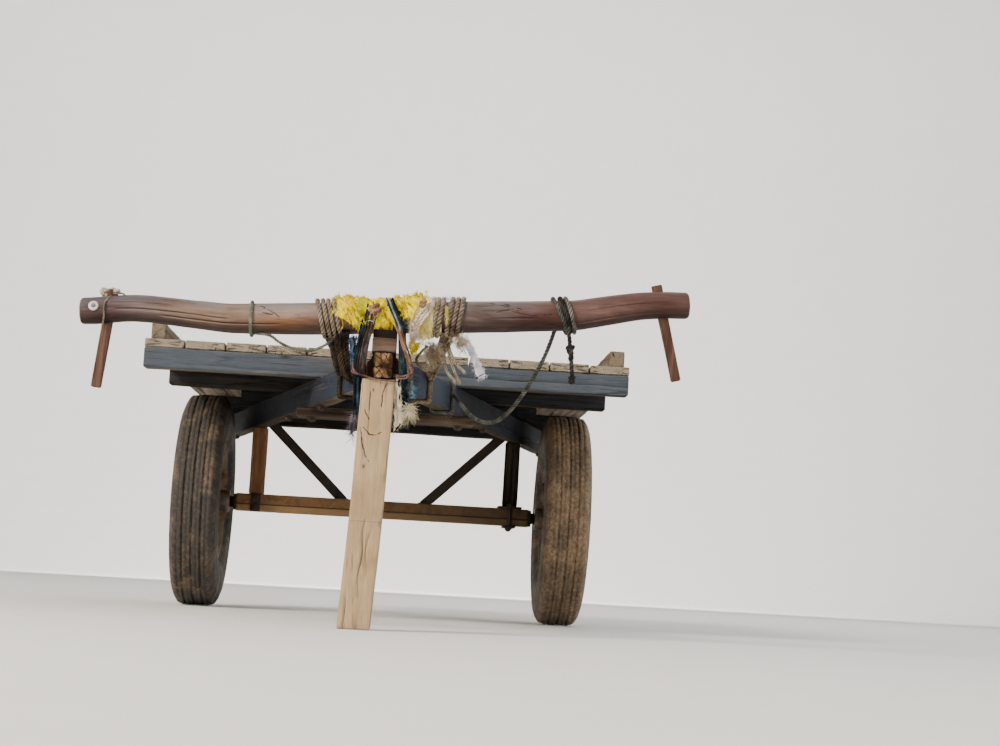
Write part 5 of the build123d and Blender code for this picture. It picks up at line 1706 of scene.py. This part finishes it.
def make_ties():
    """The coloured cords that tie the yoke down to the tongue's tip."""
    rng = random.Random(83)
    straps = (
        ("left_dark", TEAL_CLOTH, 0.0112, 0.003, [
            on_yoke(-0.052, -60, 0.004), on_yoke(-0.057, 15, 0.006), on_yoke(-0.061, 70, 0.006),
            before_yoke(-0.0655, 0.907, 0.008), (-0.0702, -1.747, 0.861), (-0.0755, -1.752, 0.8185),
            (-0.077, -1.752, 0.7727), (-0.078, -1.746, 0.742), (-0.072, -1.712, 0.724)]),
        ("left_pale", BAND_CLOTH, 0.0092, 0.0028, [
            on_yoke(-0.03, -60, 0.004), on_yoke(-0.035, 15, 0.006), on_yoke(-0.0385, 70, 0.008),
            before_yoke(-0.0425, 0.9034, 0.012), (-0.0535, -1.757, 0.8606), (-0.059, -1.761, 0.8183),
            (-0.0628, -1.761, 0.7838), (-0.064, -1.756, 0.7534), (-0.06, -1.712, 0.727)]),
        ("right_dark", WORN_TEAL, 0.0118, 0.003, [
            on_yoke(0.006, -60, 0.004), on_yoke(0.0125, 15, 0.008), on_yoke(0.02, 60, 0.009),
            before_yoke(0.033, 0.938, 0.011), before_yoke(0.044, 0.91, 0.014), (0.0505, -1.757, 0.8775),
            (0.0545, -1.757, 0.8265), (0.0575, -1.754, 0.7733), (0.0635, -1.748, 0.748),
            (0.058, -1.712, 0.728)]),
    )
    for name, material, wide, thick, route in straps:
        build = Build()
        band(build, smooth_route(route, 100), wide, thick, seed=wide * 900)
        build.piece(f"tie_band_{name}", material, "rope")
    left_path = [(-0.0385, 70, 0.012), (-0.0425, 0.9034), (-0.0535, 0.8606), (-0.059, 0.8183), (-0.0628, 0.7838),
                 (-0.064, 0.7534)]
    left = [(DIM_ORANGE, 0.0028, 0.0085), (DIM_ORANGE, 0.0024, -0.0055), (DARK_ROPE, 0.003, -0.0135),
            (TEAL, 0.0034, -0.0205)]
    for number, (material, radius, shift) in enumerate(left):
        back = 0.0035 if shift < -0.01 else -0.0035
        route = [on_yoke(-0.028 + shift * 0.8, -60, radius), on_yoke(-0.034 + shift * 0.9, 10, 0.01 + radius),
                 on_yoke(left_path[0][0] + shift, 70, 0.012 + radius), before_yoke(-0.0425 + shift, 0.9034, 0.0155)]
        route += [Vector((x + shift, -1.7605 + back, z)) for x, z in left_path[2:]]
        route.append((-0.06 + shift * 0.6, -1.712, 0.727))
        tie(f"tie_left_{number + 1}", material, route, radius, number * 0.9)
    upper = [(0.0056, 0.983), (0.0127, 0.9605), (0.0236, 0.9382), (0.0366, 0.9123)]
    for number, (material, radius, shift) in enumerate(((WHITE, 0.0025, 0.0), (BLUE, 0.0032, -0.0062),
                                                        (BLUE, 0.0028, 0.0056), (TEAL, 0.0034, 0.0118))):
        route = [on_yoke(-0.004 + shift, -60, 0.006), on_yoke(0.002 + shift, -8, 0.016)]
        route += [before_yoke(x + shift, z, 0.0185) for x, z in upper]
        route += [(0.046 + shift, -1.757, 0.8861), (0.052 + shift * 0.8, -1.7505, 0.86),
                  (0.0565 + shift * 0.7, -1.7495, 0.815), (0.0585 + shift * 0.7, -1.749, 0.775),
                  (0.062 + shift * 0.6, -1.752, 0.752), (0.056 + shift * 0.6, -1.712, 0.73)]
        tie(f"tie_right_{number + 1}", material, route, radius, number * 1.1)
    for number, (material, radius, shift) in enumerate(((ORANGE, 0.003, 0.0), (TAN, 0.0032, 0.0068),
                                                        (ORANGE, 0.0024, -0.0056))):
        route = [on_yoke(0.012 + shift, -50, 0.006), on_yoke(0.018 + shift, 10, 0.009),
                 on_yoke(0.0255 + shift, 60, 0.012), before_yoke(0.0331 + shift, 0.9063, 0.0175),
                 (0.0444 + shift, -1.764, 0.8783), (0.0557 + shift, -1.767, 0.8485),
                 (0.0668 + shift, -1.768, 0.8224), (0.0755 + shift, -1.768, 0.7963),
                 (0.0845 + shift * 0.4, -1.768, 0.778), (0.0835 + shift * 0.3, -1.765, 0.762),
                 (0.072, -1.755, 0.752), (0.062, -1.715, 0.735)]
        tie(f"tie_tan_{number + 1}", material, route, radius, number * 0.7)

    build = Build()
    routes = [
        [(-0.09, -1.735, 0.79), (-0.091, -1.758, 0.772), (-0.0835, -1.7735, 0.757), (-0.0735, -1.7765, 0.749),
         (-0.055, -1.777, 0.7455), (-0.032, -1.7785, 0.7385), (-0.0015, -1.7795, 0.7345), (0.0364, -1.778, 0.7335),
         (0.047, -1.766, 0.7345)],
        [(-0.0915, -1.735, 0.765), (-0.0925, -1.76, 0.758), (-0.082, -1.7725, 0.7505), (-0.066, -1.775, 0.7475),
         (-0.05, -1.765, 0.746), (-0.044, -1.745, 0.744)],
        [(0.0385, -1.742, 0.7575), (0.0405, -1.766, 0.7545), (0.056, -1.7755, 0.7485), (0.0735, -1.7745, 0.7555),
         (0.083, -1.757, 0.762), (0.075, -1.735, 0.76)],
        [(0.037, -1.742, 0.749), (0.0405, -1.768, 0.7455), (0.0565, -1.777, 0.7415), (0.0735, -1.772, 0.7475),
         (0.082, -1.752, 0.754), (0.07, -1.733, 0.75)],
        [(0.0665, -1.769, 0.806), (0.073, -1.7745, 0.792), (0.083, -1.776, 0.7805), (0.09, -1.7745, 0.7715),
         (0.0855, -1.777, 0.7595), (0.0755, -1.777, 0.7585), (0.0735, -1.7715, 0.77), (0.082, -1.763, 0.7795),
         (0.09, -1.755, 0.783)],
    ]
    for number, route in enumerate(routes):
        twist(build, smooth_route(route, 60), 0.0027, seed=number, gap=0.0018, sides=5)
    build.piece("tie_pink", PINK, "rope")

    for name, rows in (("left", [(-0.0745, -1.748, 0.742), (-0.0735, -1.746, 0.705), (-0.0715, -1.742, 0.665),
                                 (-0.0685, -1.738, 0.63), (-0.0675, -1.736, 0.602)]),
                       ("right", [(0.058, -1.745, 0.752), (0.06, -1.742, 0.72), (0.0655, -1.736, 0.68),
                                  (0.073, -1.73, 0.64), (0.08, -1.727, 0.6)])):
        for number in range(4):
            apart = 0.0042 if name == "left" else 0.0062
            shift = Vector(((number - 1.5) * apart, 0.004 * (number % 2), 0.0))
            cut = rng.uniform(0.0, 0.03 if name == "left" else 0.05)
            route = [Vector(point) + shift * (1 + 0.18 * index) + Vector((0, 0, cut * index / 4))
                     for index, point in enumerate(rows)]
            line = smooth_route(route, 60)
            radius = 0.0034 if number % 2 else 0.004
            material = TIE_END_COLOURS[name][number]
            end = rope(f"tie_end_{name}_{number + 1}", material, line, radius, seed=number, gap=0.0024, loose=0.1,
                       sides=5)
            fray = frayed(f"tie_fray_{name}_{number + 1}", line, rng, 30, 0.03, material)


def sheet_piece(name, grid, material, keep=None):
    """A sheet of cloth from rows of points, as one piece with a thickness. keep says which cells stay."""
    rows, columns = len(grid), len(grid[0])
    points = [point for row in grid for point in row]
    starts = [row * columns + column for row in range(rows - 1) for column in range(columns - 1)
              if keep is None or keep(row / (rows - 1), column / (columns - 1))]
    faces = [(start, start + 1, start + columns + 1, start + columns) for start in starts]
    used = sorted({number for face in faces for number in face})
    renamed = {old: new for new, old in enumerate(used)}
    made = piece(name, [points[number] for number in used],
                 [tuple(renamed[number] for number in face) for face in faces], material)
    area = sum(face.area for face in made.data.polygons)
    wide = sum(length_of(row) for row in grid) / rows
    long = sum(length_of(line) for line in zip(*grid)) / columns
    flat = (wide, max(long, area / wide))
    thick = made.modifiers.new("thickness", "SOLIDIFY")
    thick.thickness = 0.0011
    thick.offset = 0.0
    max(area, 0.3 * flat[0] * flat[1])
    return made


def along_table(table, place):
    """A value read between the rows of a table of (place, value)."""
    for (low, first), (high, second) in zip(table, table[1:]):
        if place <= high:
            return first + (second - first) * max(0.0, (place - low) / (high - low))
    return table[-1][1]


def wrapped_grid(low, high, tops, bottoms, lifts, seed, rows=110, columns=70, base=0.004, folds=0.008, knot=None,
                 droop=0.0, spikes=0.0, tuck=9.0):
    """Rows of points of a cloth that lies over the yoke, with folds, and edges that stand off it."""
    grid = []
    for row in range(rows):
        share = row / (rows - 1)
        along = low + (high - low) * share
        ragged = 7.0 * rumple((along * 60, 0, 0), 1.0, seed) + 5.0 * rumple((along * 190, 0, 0), 1.0, seed)
        top = along_table(tops, along) + ragged * 0.6
        bottom = along_table(bottoms, along) + ragged * (0.35 if along < -0.085 else 1.0)
        lift = along_table(lifts, along) * (1.0 + 0.75 * rumple((along * 75, 4, 0), 1.0, seed))
        lift *= 1 + spikes * rumple((along * 330, 7, 0), 1.0, seed)
        line = []
        for column in range(columns):
            part = column / (columns - 1)
            angle = top + (bottom - top) * part
            place = along
            off = base + folds * (0.5 + 0.5 * rumple((along * 34 + angle * 0.018, angle * 0.012, 0), 1.0, seed)) ** 1.5
            off += folds * 0.8 * max(0.0, 1 - abs(rumple((along * 46 - angle * 0.02, angle * 0.02, 1), 1.0, seed + 3))
                                     * 4) * 0.6
            off += 0.0022 * rumple((along * 170, angle * 0.07, 2), 1.0, seed + 5)
            off += lift * max(0.0, 1 - part / 0.3) ** 1.5
            off += 0.008 * max(0.0, (part - 0.86) / 0.14) ** 2
            if knot:
                away = math.hypot((along - knot[0]) / 0.03, (angle - knot[1]) / 34)
                ray = math.atan2(angle - knot[1], (along - knot[0]) * 1200)
                off += 0.0042 * math.sin(ray * 8 + 0.6) * math.exp(-((away - 0.8) ** 2) / 0.6)
                off -= 0.003 * math.exp(-away * away * 3)
                place -= (along - knot[0]) * 0.2 * math.exp(-away * away * 0.8)
            if along > tuck:
                off = min(off, max(0.0016, 0.012 - (along - tuck) * 0.9))
            off = max(off, 0.0016)
            point = on_yoke(place, angle, off)
            point.z -= droop * max(0.0, part - 0.55) ** 2
            line.append(point)
        grid.append(line)
    return grid


def edge_hairs(name, grid, rng, count, length, material, radius=0.00045, sides=("first", "last", "start", "end")):
    """Loose threads that stand out from a cloth's edges."""
    roots = []
    for _ in range(count):
        side = rng.choice(sides)
        row, column = rng.randrange(len(grid)), rng.randrange(len(grid[0]))
        edge, inside = {"first": ((row, 0), (row, 3)), "last": ((row, -1), (row, -4)),
                        "start": ((0, column), (3, column)), "end": ((-1, column), (-4, column))}[side]
        point, inner = grid[edge[0]][edge[1]], grid[inside[0]][inside[1]]
        roots.append((inner.lerp(point, 0.7), point - inner))
    build = Build()
    hairs(build, roots, rng, length, radius, 0.35, 0.7)
    return build.piece(name, material, "cloth")


def tuft(name, material, slot, rng, count, root, *shape):
    """Loose fibres on their own. root draws where one starts and which way it goes."""
    build = Build()
    hairs(build, [root() for _ in range(count)], rng, *shape)
    return build.piece(name, material, slot)


def tight_knot(build, radius, uneven, seed, *knot):
    """An overhand knot of one strand."""
    line = knot_line(*knot)
    strand(build, line + line[:1], radius, 9, uneven=uneven, seed=seed)


def before_all(*spots):
    """Points in front of the yoke."""
    return [before_yoke(*spot) for spot in spots]


def make_rags():
    """The torn yellow cloth knotted over the yoke, and the pale fibrous one beside it."""
    rng = random.Random(97)
    tops = [(-0.16, -24.0), (-0.1, -20.0), (-0.06, -24.0), (-0.02, -30.0), (0.06, -26.0), (0.12, -16.0)]
    bottoms = [(-0.16, 84.0), (-0.143, 92.0), (-0.12, 105.0), (-0.1, 117.0), (-0.084, 128.0), (-0.075, 98.0),
               (-0.066, 112.0), (-0.05, 110.0), (-0.041, 142.0), (-0.03, 154.0), (-0.012, 162.0), (0.002, 148.0),
               (0.012, 130.0), (0.029, 120.0), (0.036, 92.0), (0.047, 88.0), (0.058, 98.0), (0.07, 110.0),
               (0.082, 88.0), (0.094, 66.0), (0.106, 40.0), (0.12, 8.0)]
    lifts = [(-0.16, 0.026), (-0.12, 0.02), (-0.09, 0.013), (-0.05, 0.006), (-0.02, 0.012), (0.02, 0.01),
             (0.05, 0.022), (0.08, 0.034), (0.12, 0.03)]
    grid = wrapped_grid(-0.16, 0.12, tops, bottoms, lifts, 3.0, 176, 70, 0.004, 0.0085, (-0.0335, 74.0), spikes=0.7)
    threads = edge_hairs("rag_threads", grid, rng, 420, 0.016, YELLOW_THREAD, 0.0007)

    def torn(row, column):
        """Which cells of the yellow cloth are left: its edges are combed into spikes and it has small holes."""
        edge = min(column / 0.15, (1 - column) / (0.02 if row < 0.27 else 0.06), row / 0.03, (1 - row) / 0.03)
        spike = 0.5 + 0.9 * rumple((row * 62, column * 2.5, 0), 1.0, 8.0)
        if edge < spike * 0.9:
            return False
        holes = rumple((row * 40, column * 15, 0), 1.0, 5.0) + 0.2 * rumple((row * 130, column * 44, 0), 1.0, 9.0)
        return holes < 0.47 or 0.1 < column < 0.8 and abs(row - 0.45) < 0.06

    made = sheet_piece("yellow_rag", grid, YELLOW_CLOTH, torn)
    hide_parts("yoke_rag")
    nap = Build()
    roots = []
    for _ in range(190):
        row = rng.randrange(2, 64) if rng.random() < 0.6 else rng.randrange(114, 174)
        column = int(rng.triangular(1, 55, 12))
        point = grid[row][column]
        out = point - on_yoke(point.x, 0, -YOKE_RADIUS)
        roots.append((point, out.normalized() + Vector((rng.uniform(-0.6, 0.6), 0, rng.uniform(-0.3, 0.5)))))
    for _ in range(200):
        row = rng.randrange(2, 58) if rng.random() < 0.5 else rng.randrange(109, 174)
        point = grid[row][rng.randrange(5, 15)]
        roots.append((point, Vector((rng.uniform(-0.7, 0.7), -0.4, rng.uniform(0.8, 1.8)))))
    hairs(nap, roots, rng, 0.012, 0.001, 0.05, 0.7, 4, 1.1)
    nap.piece("rag_nap", YELLOW_THREAD, "cloth")
    tail = Build()
    for route in (before_all((-0.128, 0.925, 0.006), (-0.132, 0.914, 0.014), (-0.127, 0.9, 0.018),
                             (-0.1275, 0.888, 0.014), (-0.133, 0.884, 0.01), (-0.13, 0.892, 0.008)),
                  before_all((-0.038, 0.888, 0.016), (-0.034, 0.876, 0.019), (-0.024, 0.871, 0.02),
                             (-0.016, 0.877, 0.019), (-0.02, 0.886, 0.017))):
        strand(tail, spaced(smooth_route(route, 40), 0.0016), 0.0017, 7, uneven=0.4, seed=route[0].x)
    tail.piece("rag_tails", YELLOW_THREAD, "cloth")
    ring = Build()
    line = before_all(*[(-0.0485 + 0.0125 * math.cos(turn), 0.9075 + 0.0062 * math.sin(turn),
                         0.0155 + 0.002 * math.sin(turn * 2)) for turn in circle(40) + [2 * math.pi]])
    strand(ring, line, 0.0014, 7, uneven=0.25, seed=2.0)
    ring.piece("rag_ring", PALE_ROPE, "rope")

    build = Build()
    spot = on_yoke(-0.036, 76, 0.015)
    for shift, size, turn in (((-0.009, 0, 0.004), 0.0115, 0.4), ((0.006, -0.003, -0.006), 0.0125, 2.0),
                              ((0.003, 0.002, 0.012), 0.0095, 3.6)):
        tight_knot(build, 0.0044, 0.5, turn, spot + Vector(shift), (1, 0, 0.25), (0.1, -0.25, 1), size, turn)
    build.piece("rag_knot", KNOT_RAG, "cloth")
    lump = Build()
    tight_knot(lump, 0.0044, 0.5, 5.0, before_yoke(0.106, 0.975, 0.02), (1, 0, 0.3), (0.1, -0.2, 1), 0.0095, 1.0)
    lump.piece("rag_lump", KNOT_RAG, "cloth")

    tops = [(0.07, 104.0), (0.082, 88.0), (0.096, 60.0), (0.112, 26.0), (0.125, -4.0), (0.17, -30.0)]
    bottoms = [(0.07, 128.0), (0.084, 146.0), (0.104, 160.0), (0.128, 158.0), (0.17, 140.0)]
    lifts = [(0.07, 0.003), (0.15, 0.004)]
    grid = wrapped_grid(0.074, 0.162, tops, bottoms, lifts, 6.0, 68, 66, 0.0045, 0.007, droop=0.03, tuck=0.13)
    threads = edge_hairs("cream_threads", grid, rng, 300, 0.026, STRAW_THREAD, 0.0005, ("first", "last", "start"))

    def fluff():
        point = grid[rng.randrange(8, 48)][int(rng.triangular(6, 65, 42))]
        return point, (point - on_yoke(0.115, 0, -YOKE_RADIUS)) * 12 + Vector((
            rng.uniform(-1, 1), 0, rng.uniform(-1, 0.5)))

    surface = tuft("cream_fluff", CREAM_THREAD, "cloth", rng, 760, fluff, 0.018, 0.0006, 0.3, 0.8, 4, 1.0)
    sheet_piece("cream_rag", grid, CREAM_CLOTH)

    twists = Build()
    for number, (shift, level) in enumerate(((0.0, 0.0), (0.008, -0.004), (-0.006, -0.006), (0.013, -0.012))):
        route = [on_yoke(0.142 + shift * 0.3, 5, 0.012)] + before_all(
            (0.136 + shift * 0.4, 0.984 + level, 0.014), (0.112 + shift, 0.959 + level, 0.017),
            (0.094 + shift, 0.934 + level, 0.018), (0.082 + shift, 0.914 + level, 0.018),
            (0.079 + shift * 0.8, 0.894 + level, 0.019), (0.082 + shift * 0.4, 0.872 + level, 0.022))
        twist(twists, smooth_route(route, 80), 0.0046, 2, 3.4, 0.0018, 8, seed=number * 1.7, loose=0.3)
        hairs(twists, [(point, point - on_yoke(point.x, 0, -YOKE_RADIUS)) for point in smooth_route(route, 60)[::3]],
              rng, 0.013, 0.0007, 0.3, 1.2, 4, 1.2)
    twists.piece("rag_twists", PINK_CLOTH, "cloth")

    def shreds():
        level = rng.random()
        spot = Vector((0.088 + rng.uniform(-0.018, 0.017) * (1 - 0.5 * level), -1.742 + rng.uniform(-0.008, 0.006),
                       0.858 - 0.032 * level))
        return spot, drawn(rng, (-1, 1), (-1, 0.2), (-1, 0.4))

    tuft("rag_tuft", BLUSH_THREAD, "cloth", rng, 260, lambda: (
        Vector((0.083 + rng.uniform(-0.009, 0.014), -1.752 + rng.uniform(-0.005, 0.004),
                0.876 + rng.uniform(-0.012, 0.012))), drawn(rng, (-1, 1), (-1, 0.1), (-1, 0.7))),
        0.015, 0.0008, 0.4, 0.6, 4, 1.0)
    tuft("rag_bit", YELLOW_THREAD, "cloth", rng, 420, shreds, 0.016, 0.0009, 0.4, 0.7, 4, 1.3)
    tuft("coil_fluff", WHITE, "rope", rng, 260, lambda: (
        on_yoke(rng.uniform(0.14, 0.24), rng.uniform(-30, 36), rng.uniform(0.005, 0.013)),
        drawn(rng, (-1, 1), (-0.8, 0.4), (0.0, 1.2))), 0.018, 0.0005, 0.2, 0.9, 5, 1.6)
    tuft("coil_patch", CREAM_THREAD, "cloth", rng, 340, lambda: (
        on_yoke(0.1775 + rng.uniform(-0.004, 0.004), rng.uniform(62, 118), 0.0085),
        Vector((rng.uniform(-0.5, 0.5), -1, rng.uniform(-1.5, 1.0)))), 0.012, 0.00065, 0.3, 0.4, 4, 0.6)
    make_scraps(rng)
    make_fibres(rng)


def make_scraps(rng):
    """Torn bits of cloth that hang among the cords, each spread between four corners."""
    for name, material, corners, size, seed, rests in (
            ("blue_scrap_left", BLUE_CLOTH, [(-0.112, -1.722, 0.866), (-0.083, -1.735, 0.868), (-0.082, -1.742, 0.796),
                                             (-0.099, -1.732, 0.786)], 18, 3.0, "tie_band_left_dark"),
            ("blue_scrap_right", SKY_CLOTH, [(0.08, -1.738, 0.735), (0.107, -1.735, 0.726), (0.103, -1.736, 0.688),
                                             (0.084, -1.738, 0.684)], 16, 4.0, "tie_pink"),
            ("teal_scrap_right", TEAL_CLOTH, [(0.056, -1.742, 0.756), (0.078, -1.738, 0.758), (0.08, -1.732, 0.66),
                                              (0.061, -1.734, 0.645)], 20, 7.0, "tie_pink"),
            ("teal_scrap_left", TEAL_CLOTH, [(-0.088, -1.74, 0.758), (-0.064, -1.746, 0.758), (-0.06, -1.738, 0.648),
                                             (-0.076, -1.734, 0.64)], 20, 8.0, "tie_pink"),
            ("white_fold", GREY_CLOTH, [(0.033, -1.75, 0.752), (0.052, -1.748, 0.752), (0.0715, -1.738, 0.618),
                                        (0.043, -1.74, 0.578)], 22, 5.0, "tie_pink"),
            ("pale_strip", STRIP_CLOTH, [(0.229, -1.712, 0.886), (0.251, -1.708, 0.884), (0.312, -1.69, 0.776),
                                         (0.2865, -1.69, 0.76)], 26, 6.0, "yoke_coil_right")):
        is_strip = name == "pale_strip"
        corners = [Vector(corner) for corner in corners]
        grid = []
        for row in range(size * 2):
            share = row / (size * 2 - 1)
            first, last = corners[0].lerp(corners[3], share), corners[1].lerp(corners[2], share)
            narrow = 0.16 * rumple((share * 9, 3, seed), 1.0) + 0.1 * rumple((share * 31, 5, seed), 1.0)
            line = []
            for column in range(size):
                part = column / (size - 1)
                wave = 0.0055 * math.sin(part * 9 + 4 * rumple((share * 3.5, 0, seed), 1.0))
                point = first.lerp(last, 0.5 + (part - 0.5) * (1 + 2 * narrow))
                line.append(point + (0.3 if is_strip else 1.0) * Vector((
                    0.0035 * rumple((share * 6, part * 1.5, seed), 1.0),
                    wave + 0.008 * rumple((share * 6, part * 3, seed), 1.0),
                    0.004 * rumple((share * 5, part * 6, seed + 2), 1.0))))
            grid.append(line)

        def kept(row, column):
            """Which cells of the torn scrap are left."""
            edge = min(row / 0.06, (1 - row) / 0.12, column / 0.1, (1 - column) / 0.16)
            if is_strip:
                return edge > 1.5 * abs((row * 13) % 1 - 0.5)
            return edge > 0.55 + 0.9 * rumple((row * 24, column * 6, seed), 1.0)

        stuff = {"white_fold": STRAW_THREAD, "pale_strip": WHITE}.get(name, BLUE_THREAD)
        threads = edge_hairs(f"{name}_threads", grid, rng, 120, 0.013, stuff, 0.0005)
        sheet_piece(name, grid, material, kept)


def make_fibres(rng):
    """Loose fibres that hang between the cords, the slings and the coils."""
    for name, spots, count, length, material in (
            ("fibres_right", [(0.068, -1.74, 0.676), (0.104, -1.734, 0.67), (0.086, -1.73, 0.622)], 190, 0.044,
             STRAW_THREAD),
            ("fibres_left", [(-0.084, -1.737, 0.662), (-0.07, -1.737, 0.65), (-0.082, -1.735, 0.58),
                             (-0.079, -1.735, 0.53)], 250, 0.034, GREY_THREAD),
            ("fibres_sling", [(0.104, -1.68, 0.872), (0.19, -1.675, 0.868), (0.14, -1.675, 0.79)], 460, 0.04,
             LOOSE_HEMP),
            ("fibres_coil", [(0.185, -1.712, 0.884), (0.246, -1.72, 0.905), (0.243, -1.7, 0.835)], 240, 0.034,
             LOOSE_HEMP)):

        def among():
            """A place somewhere between the spots, and a way that is mostly down."""
            shares = [rng.random() for _ in spots]
            point = sum((Vector(spot) * share / sum(shares) for spot, share in zip(spots, shares)), Vector())
            return point, drawn(rng, (-0.5, 0.5), (-0.4, 0.2), (-1.0, 0.1))

        tuft(name, material, "rope", rng, count, among, length, 0.0008, 0.5, 0.7, 5, 1.5)


make_camera()
make_timbers()
make_deck()
make_yoke()
make_seat()
make_wheels()
make_axle()
make_braces()
make_bolts()
make_prop_iron()
make_windings()
make_cords()
make_ties()
make_rags()


def add_lamp(name, size, energy, colour, place, away):
    """A square light that shines along a way."""
    data = bpy.data.lights.new(name, "AREA")
    data.size, data.energy, data.color = size, energy, colour
    lamp = linked(name, data)
    lamp.location = place
    lamp.rotation_euler = away.to_track_quat("-Z", "Y").to_euler()


def make_stage():
    """A pale floor that curves up into a backdrop all round, and soft lights."""
    rows = [(radius, 0.0) for radius in (6.0, 12.0, 17.0)]
    for number in range(1, 17):
        angle = math.radians(90 * number / 16)
        rows.append((17.0 + 9.0 * math.sin(angle), 9.0 * (1 - math.cos(angle))))
    rows.append((26.0, 18.0))
    around = 96
    points = [(radius * math.cos(2 * math.pi * number / around), radius * math.sin(2 * math.pi * number / around), z)
              for radius, z in rows for number in range(around)]
    mesh = bpy.data.meshes.new("floor")
    mesh.from_pydata(points, [], tube_faces(len(rows), around, caps=False) + [tuple(range(around))])
    mesh.update()
    mesh.polygons.foreach_set("use_smooth", [True] * (len(mesh.polygons) - 1) + [False])
    floor = linked("floor", mesh)
    shade = Shader("floor")
    grain = shade.noise(shade.place, 3.0, 6.0, 0.6)
    mesh.materials.append(shade.finish(shade.mix(grain, (0.74, 0.725, 0.70), (0.80, 0.785, 0.76)), 0.85))

    world = bpy.data.worlds.new("studio")
    world.use_nodes = True
    back = world.node_tree.nodes["Background"]
    back.inputs["Color"].default_value = (0.93, 0.96, 1.0, 1.0)
    back.inputs["Strength"].default_value = 0.38
    bpy.context.scene.world = world
    for name, place, size, energy, colour in (
            ("key", (-6.5, -8.0, 6.5), 3.2, 1850.0, (1.0, 0.92, 0.8)),
            ("fill", (8.0, -6.0, 4.5), 7.0, 320.0, (0.88, 0.94, 1.0)),
            ("back", (3.0, 9.0, 8.0), 6.0, 520.0, (1.0, 0.97, 0.92))):
        add_lamp(name, size, energy, colour, Vector(place), Vector((0, 0, 0.6)) - Vector(place))
    for number in range(4):
        angle = math.pi / 2 * number
        out = Vector((math.sin(angle), math.cos(angle), 0))
        add_lamp(f"wall_{number + 1}", 9.0, 2600.0, (1.0, 0.98, 0.95), out * 12.5 + Vector((0, 0, 6.5)),
                 out + Vector((0, 0, -0.15)))


make_stage()
